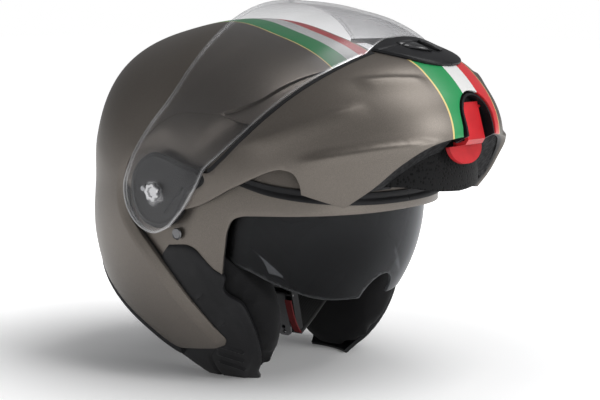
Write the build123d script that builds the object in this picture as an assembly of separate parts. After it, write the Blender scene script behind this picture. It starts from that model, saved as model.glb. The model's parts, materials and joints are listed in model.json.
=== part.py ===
from build123d import *
import math
import os

# A flip-up motorcycle helmet in the state it is photographed in: the chin bar turned up with its clear
# visor shut on it, the sun visor down, standing on its cheek bottoms. Millimetres, +Z up, the wearer
# faces -Y and the wearer's left is +X. Everything is laid out about the chin bar's turning axis, which
# runs along X, and is moved at the end so that the middle of the bottom of its box is the origin.
# Angles in the side view start at the front and rise over the crown: 0 front, 90 up, 180 rear.

# Shell
shell_half_width = 125.0  # at the rear, where it is widest
front_half_width = 118.0  # between the arms of the chin bar
shell_power = 2.35  # of the superellipse across the head
crown_radius = 123.0  # from the turning axis straight up
shell_wall = 4.0
front_drop = 1.0  # how far the front zone lies under the rear zone in the middle
shell_radius_shares = {
    -130: 1.236, -105: 1.293, -80: 1.317, -50: 1.22, -20: 1.114, 0: 1.081, 40: 1.049, 70: 0.976,
    90: 1.0, 110: 1.024, 135: 1.106, 160: 1.065, 180: 1.024, 205: 1.13,
}
stand_height = 144.0  # of the turning axis over the floor

# Chin bar
chin_half_width = 126.5
chin_power = 2.12
chin_radius = 202.0  # from the turning axis to the lip
chin_wall = 4.0
chin_radius_shares = {
    -50: 0.82, -20: 0.861, -2: 0.906, 14: 1.0, 28: 0.948, 40: 0.832, 60: 0.73, 100: 0.69, 180: 0.69,
    250: 0.73,
}
chin_space_half_width = 112.0  # of the room inside the chin bar's foam
chin_foam_depth = 24.0  # from the outside of the chin bar to that room, in the middle
curtain_radius = 178.0
curtain_half_width = 112.0
curtain_wall = 2.0
gasket_width = 2.6
tongue_angle = 40.0  # of the raised middle of the chin bar's top edge, in the side view
tongue_half_width = 44.0
tongue_rise = 10.6
tongue_root_shares = (-0.55, 0.45)
tongue_shares = ((-1.0, 0.0), (-0.75, 0.42), (-0.4, 0.85), (0.0, 1.0), (0.4, 0.85), (0.75, 0.42), (1.0, 0.0))

# Chin vent
vent_rise = 3.2
vent_wall = 2.4
flap_half_width = 19.0
flap_pin_radius = 0.8
flap_pin_end = 1.5  # how far its pin stands out of each side
flap_pin_shares = (-1.094, 0.859)
flap_travel = 14.0  # degrees
slot_half_width = 13.0

# Breath deflector
deflector_reach = 42.0
deflector_half_width = 40.0
deflector_wall = 1.8
deflector_shares = ((-1.08, 0.82), (-0.97, 0.865), (-0.86, 0.88), (-0.7, 0.85))

# Release lever in the chin's lip
recess_half_width = 18.0
recess_height = 30.0
recess_depth = 13.0
bezel_wall = 1.6
tab_half_width = 11.0
tab_thickness = 3.0
skirt_half_width = 21.0
skirt_height = 13.0
lever_travel = 4.0  # degrees
lip_angle = 12.6  # of the lip, in the side view
lever_angle = 6.9  # from the lip to the top of the tab
foot_angle = 0.9

# Side covers and rear trim
cover_wall = 2.5
cover_proud = 0.6
rib_length = 15.0
rib_height = 1.6
rib_slope = 18.0
cover_rib_shares = ((-0.3, -0.94), (-0.27, -1.0), (-0.24, -1.06))
trim_height = 6.5
trim_depth = 8.0

# Clear visor
visor_half_width = 129.4
visor_power = 2.2
visor_radius = 139.0  # at its rear edge, over the crown
visor_wall = 2.4
visor_radius_shares = {
    -60: 1.187, -20: 1.22, 20: 1.237, 42: 1.201, 51: 1.151, 62: 1.076, 82: 1.0, 120: 1.0, 180: 1.0,
    240: 1.08,
}

# Sun visor
sun_half_width = 108.0
sun_power = 2.2
sun_radius = 125.0  # about its own hinge
sun_wall = 2.0
sun_hinge_drop = 12.0  # of its hinge under the turning axis of the chin bar
sun_hub_radius = 11.0
sun_pin_radius = 4.0
sun_notch_radius = 17.0  # of the nose notch
sun_notch_top = 64.0  # of the notch's top under the turning axis

# Seal over the eye-port
seal_rise = 2.2
seal_groove = 1.0

# Lining
lining_half_width = 90.0  # of the head space in the foam
lining_depth = 30.0  # from the shell's outside to the head space, in the middle
pad_depth = 9.0
cheek_inner = 50.0  # from the middle to the face side of a cheek pad
cheek_outer = 118.0
soft_clearance = 0.4
channel_angles = (25, 60, 95, 130)
channel_width = 2.5
channel_depth = 2.0
cheek_crown_shares = ((0.0, 0.76), (0.05, 0.88), (0.15, 0.96), (0.35, 1.0), (1.0, 1.0))

# Hinge stack on each side, from the shell outwards
hub_radius = 26.0
hub_inner = 117.0
hub_thickness = 5.6
pin_radius = 5.0
screw_head_radius = 8.0
screw_head_height = 2.2
running_clearance = 0.4
plate_radius = 24.0
plate_thickness = 2.0

# Latch
striker_radius = 4.2
striker_height = 2.6
striker_place_shares = (-0.122, -0.244)
striker_cap = 1.2
catch_thickness = 1.6
catch_arm = 12.5  # from the striker to the catch's own pin
catch_width = 3.5
catch_pin_radius = 1.6
catch_travel = 30.0  # degrees
chin_travel = 72.0  # degrees, from raised to shut

# Sun visor slider, let into the trim of the left bottom edge
rail_length = 40.0
rail_width = 6.0
rail_thickness = 3.0
rail_middle_shares = (0.768, 0.212, -0.943)
rail_tilt = 30.5  # its rise towards the rear, along the bottom edge
rail_groove = 2.4
knob_length = 10.0
knob_width = 8.0
knob_height = 3.0

# Strap and buckle
strap_width = 24.0
strap_thickness = 2.4
strap_place = -27.0  # of its middle, ahead of the turning axis
strap_end = 101.4  # from the middle to its end against the anchor
right_strap_shares = ((1.0, -0.325), (1.0, -0.36), (1.0, -0.4), (0.992, -0.44), (0.955, -0.48), (0.88, -0.5),
                      (0.72, -0.51), (0.5, -0.535), (0.3, -0.585), (0.137, -0.666))
left_strap_shares = ((1.0, -0.325), (1.0, -0.36), (1.0, -0.4), (0.992, -0.44), (0.955, -0.485), (0.88, -0.515),
                     (0.72, -0.555), (0.5, -0.65), (0.27, -0.78), (0.09, -0.89), (-0.045, -0.96))
anchor_thickness = 2.0
anchor_length = 19.0
anchor_place = -48.0  # of its middle, under the turning axis
rivet_radius = 3.0
rivet_head = 1.2
buckle_middle = (-12.0, -99.0)
buckle_length = 32.0
buckle_width = 27.0
buckle_height = 7.0
buckle_wall = 1.5
buckle_tilt = 14.0  # from upright
clasp_length = 34.0
clasp_width = 13.0
clasp_thickness = 1.6
clasp_hole_radius = 1.7
clasp_hole_shares = (0.9, 0.79)
tongue_width = 13.0
tongue_thickness = 1.9
tooth_pitch = 2.5
ribbon_width = 6.0
ribbon_thickness = 1.0
ribbon_length = 26.0
ribbon_shares = ((0.0, 0.0), (0.3, 0.015), (0.6, 0.05), (0.85, 0.12), (1.0, 0.2))

gap = 0.3
overrun = 60.0
body_stations = (0, 0.2, 0.38, 0.54, 0.68, 0.79, 0.88, 0.94, 0.97, 0.985)
profile_step = 15

# Side-view outlines, as shares of the crown radius: forwards is negative, up is positive
rim_shares = (
    (0.297, 0.0), (0.276, -0.114), (0.203, -0.22), (0.073, -0.358), (-0.089, -0.553), (-0.22, -0.74),
    (-0.293, -0.862), (-0.313, -0.902), (-0.29, -0.935), (-0.24, -1.3),
)
front_shares = ((-1.6, -1.3), (-1.6, 0.9), (-0.78, 0.748), (-0.642, 0.626), (-0.569, 0.545), (-0.48, 0.5),
                (-0.366, 0.463), (-0.114, 0.46), (0.14, 0.28), (0.26, 0.14))
eyeport_shares = (
    (-1.6, -0.114), (-0.54, -0.114), (-0.488, -0.135), (-0.455, -0.195), (-0.427, -0.309),
    (-0.398, -0.423), (-0.407, -0.61), (-0.423, -0.894), (-0.374, -1.4), (-1.6, -1.4),
)
bottom_shares = (
    (-0.6, -0.93), (-0.195, -0.951), (0.081, -0.984), (0.268, -0.87), (0.455, -0.764), (0.675, -0.585),
    (0.894, -0.431), (1.6, 0.0), (1.6, -1.6), (-0.6, -1.6),
)
cover_shares = (
    (-0.041, -0.317), (-0.187, -0.309), (-0.228, -0.325), (-0.341, -0.439), (-0.398, -0.48),
    (-0.382, -0.569), (-0.472, -0.65), (-0.488, -0.732), (-0.48, -0.878), (-0.407, -1.049),
    (-0.341, -1.122), (-0.244, -1.25), (-0.033, -1.25), (0.065, -1.114), (0.146, -1.033),
    (0.081, -1.0), (-0.195, -0.967), (-0.3, -0.94), (-0.325, -0.9), (-0.305, -0.862), (-0.232, -0.74),
    (-0.101, -0.553), (0.0, -0.4),
)
cheek_shares = (
    (-0.163, -0.309), (-0.358, -0.374), (-0.472, -0.537), (-0.545, -0.756), (-0.512, -0.959),
    (-0.423, -1.089), (-0.293, -1.16), (-0.098, -1.175), (0.098, -1.081), (0.211, -0.927),
    (0.228, -0.715), (0.163, -0.504), (0.016, -0.358),
)
chin_top_shares = ((-0.08, 0.15), (-0.382, 0.15), (-0.561, 0.317), (-0.846, 0.618), (-0.984, 0.748),
                   (-1.3, 1.07))
chin_low_shares = (
    (-1.8, 0.42), (-1.626, 0.366), (-1.512, 0.309), (-1.407, 0.211), (-1.276, 0.073), (-1.138, -0.041),
    (-0.943, 0.033), (-0.943, 0.098), (-0.911, 0.154), (-0.846, 0.171), (-0.61, 0.081), (-0.545, 0.051),
    (-0.341, -0.053), (-0.08, -0.12),
)
visor_rear_shares = ((-0.12, -0.2), (0.0, -0.243), (0.12, -0.21), (0.21, -0.12), (0.244, 0.0), (0.18, 0.19),
                     (0.055, 0.39), (-0.06, 0.56), (-0.135, 0.78), (-0.178, 1.0), (-0.187, 1.4))
visor_front_shares = ((-1.3, 1.073), (-0.984, 0.751), (-0.846, 0.621), (-0.561, 0.32), (-0.382, 0.153),
                      (-0.35, 0.08), (-0.27, -0.04))
seal_shares = ((-0.516, 0.065), (-0.675, 0.008), (-0.854, -0.033), (-1.06, -0.065), (-1.3, -0.085),
               (-1.3, -0.015), (-1.06, 0.005), (-0.85, 0.036), (-0.675, 0.07), (-0.545, 0.105))
sun_outline_shares = (
    (0.0, -0.19), (-0.31, -0.29), (-0.39, -0.41), (-0.5, -0.47), (-0.59, -0.535), (-0.67, -0.59),
    (-0.77, -0.65), (-0.86, -0.665), (-1.2, -0.665), (-1.2, 0.07), (-0.6, 0.08), (-0.3, 0.06), (0.0, 0.0),
)
sun_room_shares = (
    (0.13, -0.26), (-0.34, -0.4), (-0.5, -0.55), (-0.9, -0.75), (-1.3, -0.75), (-1.3, 0.95),
    (-0.62, 0.86), (-0.3, 0.5), (0.1, 0.12), (0.17, -0.1),
)
crown_low_shares = ((-1.3, 0.03), (-0.35, -0.1), (0.3, -0.42), (0.8, -0.24), (1.4, 0.1), (1.4, -1.6),
                    (-1.3, -1.6))
roll_shares = ((0.3, -0.84), (0.455, -0.75), (0.675, -0.57), (0.894, -0.415), (1.4, -0.1), (1.4, 0.06),
               (0.86, -0.25), (0.64, -0.42), (0.43, -0.6), (0.29, -0.7))
foam_zone_shares = (
    (-1.24, 0.05), (-1.11, 0.2), (-0.943, 0.31), (-0.81, 0.4), (-0.78, 0.49), (-0.86, 0.575),
    (-1.0, 0.7), (-1.3, 1.0), (-1.8, 0.44), (-1.6, 0.38), (-1.49, 0.325), (-1.385, 0.225),
)
curtain_zone_shares = (
    (-1.13, 0.01), (-1.22, 0.06), (-1.32, 0.062), (-1.42, 0.03), (-1.6, -0.02), (-1.6, 0.35),
    (-1.41, 0.3), (-1.3, 0.2), (-1.2, 0.14),
)
vent_zone_shares = ((-0.9, 0.83), (-1.049, 0.82), (-1.236, 0.777), (-1.374, 0.732), (-1.6, 0.66), (-1.6, 1.3),
                    (-0.9, 1.3))
flap_zone_shares = ((-1.08, 0.845), (-1.26, 0.8), (-1.42, 0.74), (-1.5, 0.86), (-1.2, 0.96))
base_shares = (
    (0.14, 0.17), (0.02, 0.23), (-0.08, 0.215), (-0.22, 0.17), (-0.32, 0.15), (-0.37, 0.1),
    (-0.26, 0.0), (-0.14, -0.17), (0.0, -0.215), (0.12, -0.18), (0.2, -0.06), (0.2, 0.08),
)


def radius_at(angle, size, shares):
    """Smooth radius at an angle: cubic pieces through the knots, with mean slopes at the knots."""
    knots = sorted((a % 360, share) for a, share in shares.items())
    knots = [(a - 360, s) for a, s in knots] + knots + [(a + 360, s) for a, s in knots]
    angle %= 360
    at = max(i for i in range(1, len(knots) - 2) if knots[i][0] <= angle)
    (a0, s0), (a1, s1), (a2, s2), (a3, s3) = knots[at - 1:at + 3]
    span = a2 - a1
    t = (angle - a1) / span
    slope1 = (s2 - s0) / (a2 - a0) * span
    slope2 = (s3 - s1) / (a3 - a1) * span
    share = (
        s1 * (1 + 2 * t) * (1 - t) ** 2 + slope1 * t * (1 - t) ** 2
        + s2 * t * t * (3 - 2 * t) - slope2 * t * t * (1 - t)
    )
    return size * share


def body(half_width, power, size, shares, inset=0.0):
    """A closed body: one side profile at stations along X, drawn in by a superellipse."""
    wires = []
    for station in [-s for s in reversed(body_stations[1:])] + list(body_stations):
        draw = (1 - abs(station) ** power) ** (1 / power)
        points = []
        for angle in range(0, 360, profile_step):
            r = (radius_at(angle, size, shares) - inset) * draw
            a = math.radians(angle)
            points.append((station * half_width, -r * math.cos(a), r * math.sin(a)))
        wires.append(Wire([Edge.make_spline([Vector(*p) for p in points], periodic=True)]))
    return Solid.make_loft(wires)


def shell_body(inset, drop=0.0):
    """The rear surface of the shell, moved in by inset."""
    return body(shell_half_width - inset, shell_power, crown_radius, shell_radius_shares, inset + drop)


def front_body(inset):
    """The surface that the chin bar's arms swing over, moved in by inset."""
    return body(front_half_width - inset, shell_power, crown_radius, shell_radius_shares, inset + front_drop)


def chin_body(inset):
    """The outside of the raised chin bar, moved in by inset."""
    return body(chin_half_width - inset, chin_power, chin_radius, chin_radius_shares, inset)


def visor_body(inset):
    return body(visor_half_width - inset, visor_power, visor_radius, visor_radius_shares, inset)


def steady_body(half_width, power, radius):
    """A body whose side profile is a circle."""
    return body(half_width, power, radius, {angle: 1 for angle in range(0, 360, 90)})


def sun_body(inset):
    """The outside of the sun visor about its own hinge, moved in by inset."""
    lens = steady_body(sun_half_width - inset, sun_power, sun_radius - inset)
    return Pos(0, 0, -sun_hinge_drop) * lens


def at_crown_scale(shares):
    return [(y * crown_radius, z * crown_radius) for y, z in shares]


def prism(points, low=None, high=None):
    """An outline of the side view (y, z), carried along X from low to high."""
    low = -(shell_half_width + overrun) if low is None else low
    high = shell_half_width + overrun if high is None else high
    face = Plane.YZ.offset(low) * make_face(Polyline(*points, close=True))
    return extrude(face, amount=high - low)


def grown(points, by):
    """An outline moved outwards by a distance, along each corner's mean normal."""
    area = sum(p[0] * q[1] - q[0] * p[1] for p, q in zip(points, points[1:] + points[:1]))
    way = math.copysign(1, area)
    moved = []
    for before, here, after in zip(points[-1:] + points[:-1], points, points[1:] + points[:1]):
        dy, dz = after[0] - before[0], after[1] - before[1]
        length = math.hypot(dy, dz)
        moved.append((here[0] + way * by * dz / length, here[1] - way * by * dy / length))
    return moved


def swung(points, centre, angle):
    """An outline of the side view turned about a point, by degrees about X."""
    c, s = math.cos(math.radians(angle)), math.sin(math.radians(angle))
    y0, z0 = centre
    return [(y0 + c * (y - y0) - s * (z - z0), z0 + s * (y - y0) + c * (z - z0)) for y, z in points]


def beside(points, by):
    """An open line moved to one side by a distance."""
    moved = []
    for i, (y, z) in enumerate(points):
        before, after = points[max(i - 1, 0)], points[min(i + 1, len(points) - 1)]
        dy, dz = after[0] - before[0], after[1] - before[1]
        length = math.hypot(dy, dz)
        moved.append((y + by * dz / length, z - by * dy / length))
    return moved


def pin(y, z, radius, start, end):
    """A round bar along X on the left side."""
    return Pos((start + end) / 2, y, z) * Rot(0, 90, 0) * Cylinder(radius, end - start)


def front_zone():
    return at_crown_scale(front_shares + rim_shares)


def stepped_body(inset):
    """The shell's surface with its front zone set in, the whole moved in by inset."""
    zone = prism(grown(front_zone(), inset)) - front_body(inset)
    return shell_body(inset) - zone


def make_shell():
    """The painted shell: rear zone, front zone under the arms, eye-port, open bottom, cover seats."""
    shell = stepped_body(0) - stepped_body(shell_wall)
    shell -= prism(at_crown_scale(eyeport_shares))
    shell -= prism(at_crown_scale(bottom_shares))
    seat = prism(grown(at_crown_scale(cover_shares), gap)) - front_body(cover_wall - cover_proud)
    shell -= seat
    return both_sides_cut(shell, hinge_holes())


def both_sides_cut(solid, tool):
    """Cuts a left-side tool and its mirror image."""
    return solid - tool - mirror(tool, about=Plane.YZ)


def hinge_holes():
    """Holes in the shell on the left side: for the pivot screw and for the striker."""
    y, z = striker_place()
    start = shell_half_width - shell_half_width / 4
    screw = pin(0, 0, pin_radius + gap / 2, start, shell_half_width)
    striker = pin(y, z, striker_radius / 2 + gap / 2, start, shell_half_width)
    return screw + striker + strap_rivet(gap / 2)


def striker_place():
    y, z = striker_place_shares
    return y * crown_radius, z * crown_radius


def make_seal():
    """Rubber strip over the eye-port, with a groove along its middle."""
    zone = at_crown_scale(seal_shares)
    strip = (front_body(-seal_rise) - front_body(-gap)) & prism(zone)
    middle = [((a[0] + b[0]) / 2, (a[1] + b[1]) / 2) for a, b in zip(zone[:5], reversed(zone[5:]))]
    groove = middle + [(y, z + seal_groove) for y, z in reversed(middle)]
    return strip - (prism(groove) - front_body(-seal_rise + seal_groove))


def lining_body(inset):
    return body(lining_half_width - inset, shell_power, crown_radius, shell_radius_shares,
                lining_depth + inset)


def sun_room():
    """Everything outside the sun visor's inner face, over the zone that it swings through."""
    return prism(at_crown_scale(sun_room_shares)) - sun_body(sun_wall + 2 * running_clearance)


def make_foam():
    """Foam between the shell and the head, open at the face, the cheeks and the neck."""
    foam = stepped_body(shell_wall + gap) - lining_body(0)
    foam -= prism(grown(at_crown_scale(eyeport_shares), shell_wall / 2))
    foam -= prism(grown(at_crown_scale(bottom_shares), shell_wall))
    foam -= sun_room()
    foam -= prism(grown(at_crown_scale(roll_shares), soft_clearance))
    foam -= prism(grown(at_crown_scale(cheek_shares), shell_wall))
    foam -= both_sides(pin(0, 0, plate_radius + gap, plate_start() - gap, shell_half_width))
    foam -= both_sides(pin(0, -sun_hinge_drop, sun_pin_radius + gap, sun_pin_start() - gap,
                           shell_half_width))
    return largest(foam)


def both_sides(tool):
    return tool + mirror(tool, about=Plane.YZ)


def largest(shape):
    """The largest solid of a shape."""
    return max(shape.solids(), key=lambda solid: solid.volume)


def make_crown_pad():
    """Comfort pad over the crown, with sewn channels from ear to ear."""
    pad = lining_body(soft_clearance) - lining_body(pad_depth)
    pad -= prism(at_crown_scale(crown_low_shares))
    pad -= prism(grown(at_crown_scale(eyeport_shares), pad_depth))
    pad -= prism(grown(at_crown_scale(roll_shares), pad_depth))
    for angle in channel_angles:
        a = math.radians(angle)
        y, z = -math.cos(a) * crown_radius, math.sin(a) * crown_radius
        side = (math.sin(a) * channel_width, math.cos(a) * channel_width)
        strip = [(-side[0], -side[1]), side, (y + side[0], z + side[1]), (y - side[0], z - side[1])]
        pad -= prism(strip) & lining_body(pad_depth - channel_depth)
    return largest(pad)


def make_neck_roll():
    """Padded roll round the back of the neck."""
    roll = stepped_body(shell_wall + gap + soft_clearance) - lining_body(pad_depth)
    return largest(roll & prism(at_crown_scale(roll_shares)))


def make_cheek_pad(strap_shares):
    """Left cheek pad: its outline draws in towards the face side in a crown."""
    outline = at_crown_scale(cheek_shares)
    middle = [sum(p[i] for p in outline) / len(outline) for i in (0, 1)]
    wires = []
    for depth_share, size_share in cheek_crown_shares:
        x = cheek_inner + depth_share * (cheek_outer - cheek_inner)
        points = [
            Vector(x, middle[0] + (y - middle[0]) * size_share, middle[1] + (z - middle[1]) * size_share)
            for y, z in outline
        ]
        wires.append(Wire([Edge.make_spline(points, periodic=True)]))
    pad = Solid.make_loft(wires) & front_body(shell_wall + gap + soft_clearance)
    pad -= sun_room()
    return largest(pad - strap_slot(strap_shares) - floor_cut())


def floor_cut(above=0.0):
    """Everything under the surface that the helmet stands on."""
    side = 4 * shell_half_width
    return Pos(0, 0, above - stand_height - side / 2) * Box(side, side, side)


def make_cover():
    """Left black side cover, from the chin bar's striker down to the floor."""
    shell = front_body(-cover_proud) - front_body(cover_wall - cover_proud - gap)
    cover = shell & prism(at_crown_scale(cover_shares), low=0)
    cover -= floor_cut()
    for share in cover_rib_shares:
        y, z = share[0] * crown_radius, share[1] * crown_radius
        rib = Pos(shell_half_width / 2, y, z) * Rot(-rib_slope, 0, 0) * Box(
            shell_half_width, rib_length, rib_height)
        cover += rib & (front_body(-cover_proud - rib_height / 2) - front_body(0))
    return largest(cover)


def make_trim():
    """Rubber trim round the rear of the bottom edge."""
    line = at_crown_scale(bottom_shares)[2:8]
    zone = [(y + gap / 2, z - gap) for y, z in line]
    zone += [(y + trim_height / 4, z - trim_height) for y, z in reversed(line)]
    trim = (shell_body(-cover_proud) - shell_body(trim_depth)) & prism(zone)
    trim -= prism(grown(at_crown_scale(cover_shares), gap))
    way = Pos(0, 0, (rail_thickness + knob_height) / 2 + gap) * Box(
        rail_length, knob_width + 2 * gap, knob_height + 2 * gap)
    return largest(trim - rail_block(gap) - rail_plane() * way)


def make_striker():
    """Left steel striker that the chin bar's catch takes hold of."""
    y, z = striker_place()
    x = front_half_width * body_stations[-1]
    shank = pin(y, z, striker_radius / 2, x - shell_wall, x + striker_height)
    head = pin(y, z, striker_radius, x + striker_height - striker_cap, x + striker_height)
    return shank + head


def plate_start():
    return (front_half_width - shell_wall) * body_stations[-1] - plate_thickness - gap


def make_hinge_plate():
    """Left steel plate inside the shell, which carries the pivot screw and the sun visor's pin."""
    start = plate_start()
    plate = pin(0, 0, plate_radius, start, start + plate_thickness)
    plate -= pin(0, 0, pin_radius + gap / 2, start, start + plate_thickness)
    return plate - pin(0, -sun_hinge_drop, sun_pin_radius / 2, start, start + plate_thickness)


def make_sun_pin():
    """Left pin that the sun visor turns on: a step through the plate and a journal in the lens."""
    start = plate_start()
    journal = pin(0, -sun_hinge_drop, sun_pin_radius, sun_pin_start(), start)
    return journal + pin(0, -sun_hinge_drop, sun_pin_radius / 2, start, start + plate_thickness)


def sun_pin_start():
    return (sun_half_width - sun_wall) * body_stations[-1] - sun_pin_radius


def make_screw():
    """Left pivot screw: shank through the whole stack, and a round head with a hexagon socket."""
    head_start = visor_half_width * body_stations[-1] + running_clearance
    shank = pin(0, 0, pin_radius, plate_start() - plate_thickness, head_start)
    head = pin(0, 0, screw_head_radius, head_start, head_start + screw_head_height)
    socket_face = Plane.YZ.offset(head_start + screw_head_height / 2) * RegularPolygon(
        screw_head_radius / 2, 6)
    return shank + head - extrude(socket_face, amount=screw_head_height)


def make_sun_visor():
    """Smoked inner visor with two arms to its hinge pins and a notch for the nose."""
    lens = (sun_body(0) - sun_body(sun_wall)) & prism(at_crown_scale(sun_outline_shares))
    cap = sun_half_width * body_stations[-1]
    inner = (sun_half_width - sun_wall) * body_stations[-1]
    lens += both_sides(pin(0, -sun_hinge_drop, sun_hub_radius, inner, cap))
    notch = Plane.XZ * Pos(0, -sun_notch_top - sun_notch_radius) * Circle(sun_notch_radius)
    lens -= extrude(notch, amount=2 * sun_radius)
    lens -= both_sides(pin(0, -sun_hinge_drop, sun_pin_radius + gap / 2, inner - gap, cap + gap))
    return largest(lens)


def chin_space(inset=0.0):
    """The room inside the chin bar's foam."""
    return body(chin_space_half_width - inset, chin_power, chin_radius, chin_radius_shares,
                chin_foam_depth + inset)


def chin_zone(by):
    """Everything in front of the chin bar's top edge, with that edge moved in by a distance."""
    start = at_crown_scale(chin_top_shares)[:1]
    zone = prism(start + top_line(by)[1:] + at_crown_scale(chin_low_shares))
    return zone + tongue(by)


def tongue(by):
    """The raised middle of the chin bar's top edge, drawn in by a distance."""
    width, rise = tongue_half_width - by, tongue_rise - by
    root = tongue_root_shares[0] * tongue_rise
    tip = [(x * width, root + z * rise) for x, z in tongue_shares]
    ends = [(width, 3 * root), (-width, 3 * root)]
    edges = Spline(*tip) + Polyline(tip[-1], *ends, tip[0])
    plane = lip_frame(chin_wall, tongue_angle)
    inner = shell_half_width
    return extrude(plane.offset(inner) * make_face(edges), amount=inner)


def top_line(by):
    """The top edge of the raised chin bar, moved back from the visor by a distance."""
    diagonal = by / math.sqrt(2)
    return [(y - diagonal, z - diagonal) for y, z in at_crown_scale(chin_top_shares)]


def lip_point(angle, radius):
    a = math.radians(angle)
    return (-radius * math.cos(a), radius * math.sin(a))


def lip_frame(radius, angle):
    """A plane that faces outwards from the turning axis, its x along X."""
    y, z = lip_point(angle, radius)
    a = math.radians(angle)
    return Plane(origin=(0, y, z), x_dir=(1, 0, 0), z_dir=(0, -math.cos(a), math.sin(a)))


def recess_tool(inset, depth):
    """The round-topped recess for the release lever, cut inwards from outside the lip."""
    outer = chin_radius + overrun / 4
    width = recess_half_width - inset
    top = recess_height - width - inset
    face = Circle(width) + Pos(0, -top) * Rectangle(2 * width, 2 * top)
    tool = lip_frame(outer, lip_angle) * Pos(0, top) * face
    return extrude(tool, amount=-(outer - chin_radius + depth))


def make_chin_bar():
    """Painted chin bar: front, two arms and their hubs, with the vent slot and the lever's recess."""
    bar = (chin_body(0) - chin_body(chin_wall)) & chin_zone(gasket_width + 2 * gap)
    bar -= recess_tool(0, recess_depth)
    slot = prism(at_crown_scale(flap_zone_shares), -slot_half_width, slot_half_width)
    bar -= slot - chin_body(chin_wall + gap)
    bar = largest(bar)
    hub_end = hub_inner + hub_thickness
    hub = pin(0, 0, hub_radius, hub_inner, hub_end)
    bar += both_sides(hub)
    seat = prism(grown(at_crown_scale(base_shares), gap), hub_end, shell_half_width + overrun)
    bar -= both_sides(seat)
    bar -= both_sides(pin(0, 0, pin_radius + gap / 2, hub_inner - gap, hub_end + gap))
    y, z = catch_hinge()
    hole = pin(y, z, catch_pin_radius + gap / 2, hub_inner, catch_end() + catch_thickness + gap)
    return largest(bar - both_sides(hole + lobe_room()))


def lobe_room():
    """Everything outside the visor's inner face around its left lobe."""
    start = hub_inner + hub_thickness
    return pin(0, 0, 2 * hub_radius, start, shell_half_width + overrun) - visor_body(
        visor_wall + running_clearance)


def make_chin_gasket():
    """Rubber gasket along the chin bar's top edge, which the visor shuts on."""
    strip = chin_zone(gap) - chin_zone(gasket_width + gap)
    strip -= both_sides(pin(0, 0, 2 * hub_radius + gap, hub_inner, shell_half_width + overrun))
    return largest((chin_body(gap) - chin_body(chin_wall - gap)) & strip)


def make_chin_foam():
    """Foam core in the front of the chin bar."""
    foam = (chin_body(chin_wall + gap) - chin_space()) & prism(at_crown_scale(foam_zone_shares))
    foam -= recess_tool(-gap, chin_foam_depth + overrun / 2)
    return largest(foam)


def make_curtain():
    """Cloth and mesh curtain that hangs inside the chin bar and closes the space under the chin."""
    sheet = steady_body(curtain_half_width, chin_power, curtain_radius) - steady_body(
        curtain_half_width - curtain_wall, chin_power, curtain_radius - curtain_wall)
    sheet &= prism(at_crown_scale(curtain_zone_shares))
    return largest(sheet - chin_foam_room())


def chin_foam_room():
    return (chin_body(chin_wall) - chin_space(soft_clearance)) & prism(
        grown(at_crown_scale(foam_zone_shares), soft_clearance))


def make_deflector():
    """Breath deflector, a rounded flap that reaches back from inside the chin bar's top edge."""
    line = at_crown_scale(deflector_shares)
    start = Plane.XY * Pos(0, line[0][0]) * Ellipse(deflector_half_width, deflector_reach)
    room = extrude(start, amount=chin_radius) & chin_body(chin_wall + gap)
    face = Plane.YZ * make_face(strip_edges(line, deflector_wall))
    sheet = extrude(face, amount=deflector_half_width, both=True)
    return largest(sheet & room)


def make_vent_frame():
    """Black wing over the top of the chin, with a window for its flap."""
    wing = (chin_body(-vent_rise) - chin_body(-gap)) & prism(at_crown_scale(vent_zone_shares))
    wing &= chin_zone(gasket_width + 2 * gap)
    zone = grown(at_crown_scale(flap_zone_shares), 2 * gap)
    for share in (0, 0.5, 1):
        way = swung(zone, at_crown_scale([flap_pin_shares])[0], -share * flap_travel)
        wing -= prism(way, -flap_half_width - gap, flap_half_width + gap)
    return largest(wing - flap_pin(gap))


def make_vent_flap():
    """Gloss flap in the wing, on a pin along its upper edge."""
    flap = chin_body(-vent_rise) - chin_body(-vent_rise + vent_wall)
    flap &= prism(at_crown_scale(flap_zone_shares), -flap_half_width, flap_half_width)
    return largest(flap + flap_pin(0))


def flap_pin(by):
    y, z = at_crown_scale([flap_pin_shares])[0]
    reach = flap_half_width + flap_pin_end + by
    return pin(y, z, flap_pin_radius + by, -reach, reach)


def make_bezel():
    """Black cup round the release lever, open below for the lever's foot."""
    cup = recess_tool(gap, recess_depth - gap) & chin_body(gap)
    cup &= prism(at_crown_scale(chin_top_shares + chin_low_shares))
    hollow = recess_tool(gap + bezel_wall, recess_depth - gap - bezel_wall)
    a = math.radians(lip_angle)
    lower = Pos(0, -recess_depth * math.sin(a), -recess_depth * math.cos(a)) * hollow
    cup = cup - hollow - lower
    for share in (0, 0.5, 1):
        way = swung(grown(lever_side(), gap), lever_hinge(), share * lever_travel)
        cup -= prism(way, -tab_half_width - gap, tab_half_width + gap)
    return largest(cup - lever_pin(gap))


def lever_hinge():
    return lip_point(lip_angle + lever_angle - foot_angle, chin_radius - 5 * tab_thickness / 2)


def lever_pin(by):
    """The release lever's pin, through the sides of its cup."""
    reach = recess_half_width - 2 * bezel_wall + by
    return pin(*lever_hinge(), tab_thickness / 3 + by, -reach, reach)


def skirt_place():
    """The radius and the angle at which the lever's skirt starts."""
    return chin_radius - 2 * tab_thickness - recess_depth, lip_angle - 2 * foot_angle


def lever_side():
    """The lever's tab and foot in the side view."""
    tab_out = chin_radius - 2 * tab_thickness
    tab_in = tab_out - tab_thickness
    skirt, low = skirt_place()
    high = lip_angle + lever_angle
    return [lip_point(high, tab_in), lip_point(high, tab_out), lip_point(lip_angle - foot_angle, tab_out),
            lip_point(low, tab_out - tab_thickness), lip_point(low, skirt), lip_point(low + foot_angle, skirt),
            lip_point(low + foot_angle, tab_in)]


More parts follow.
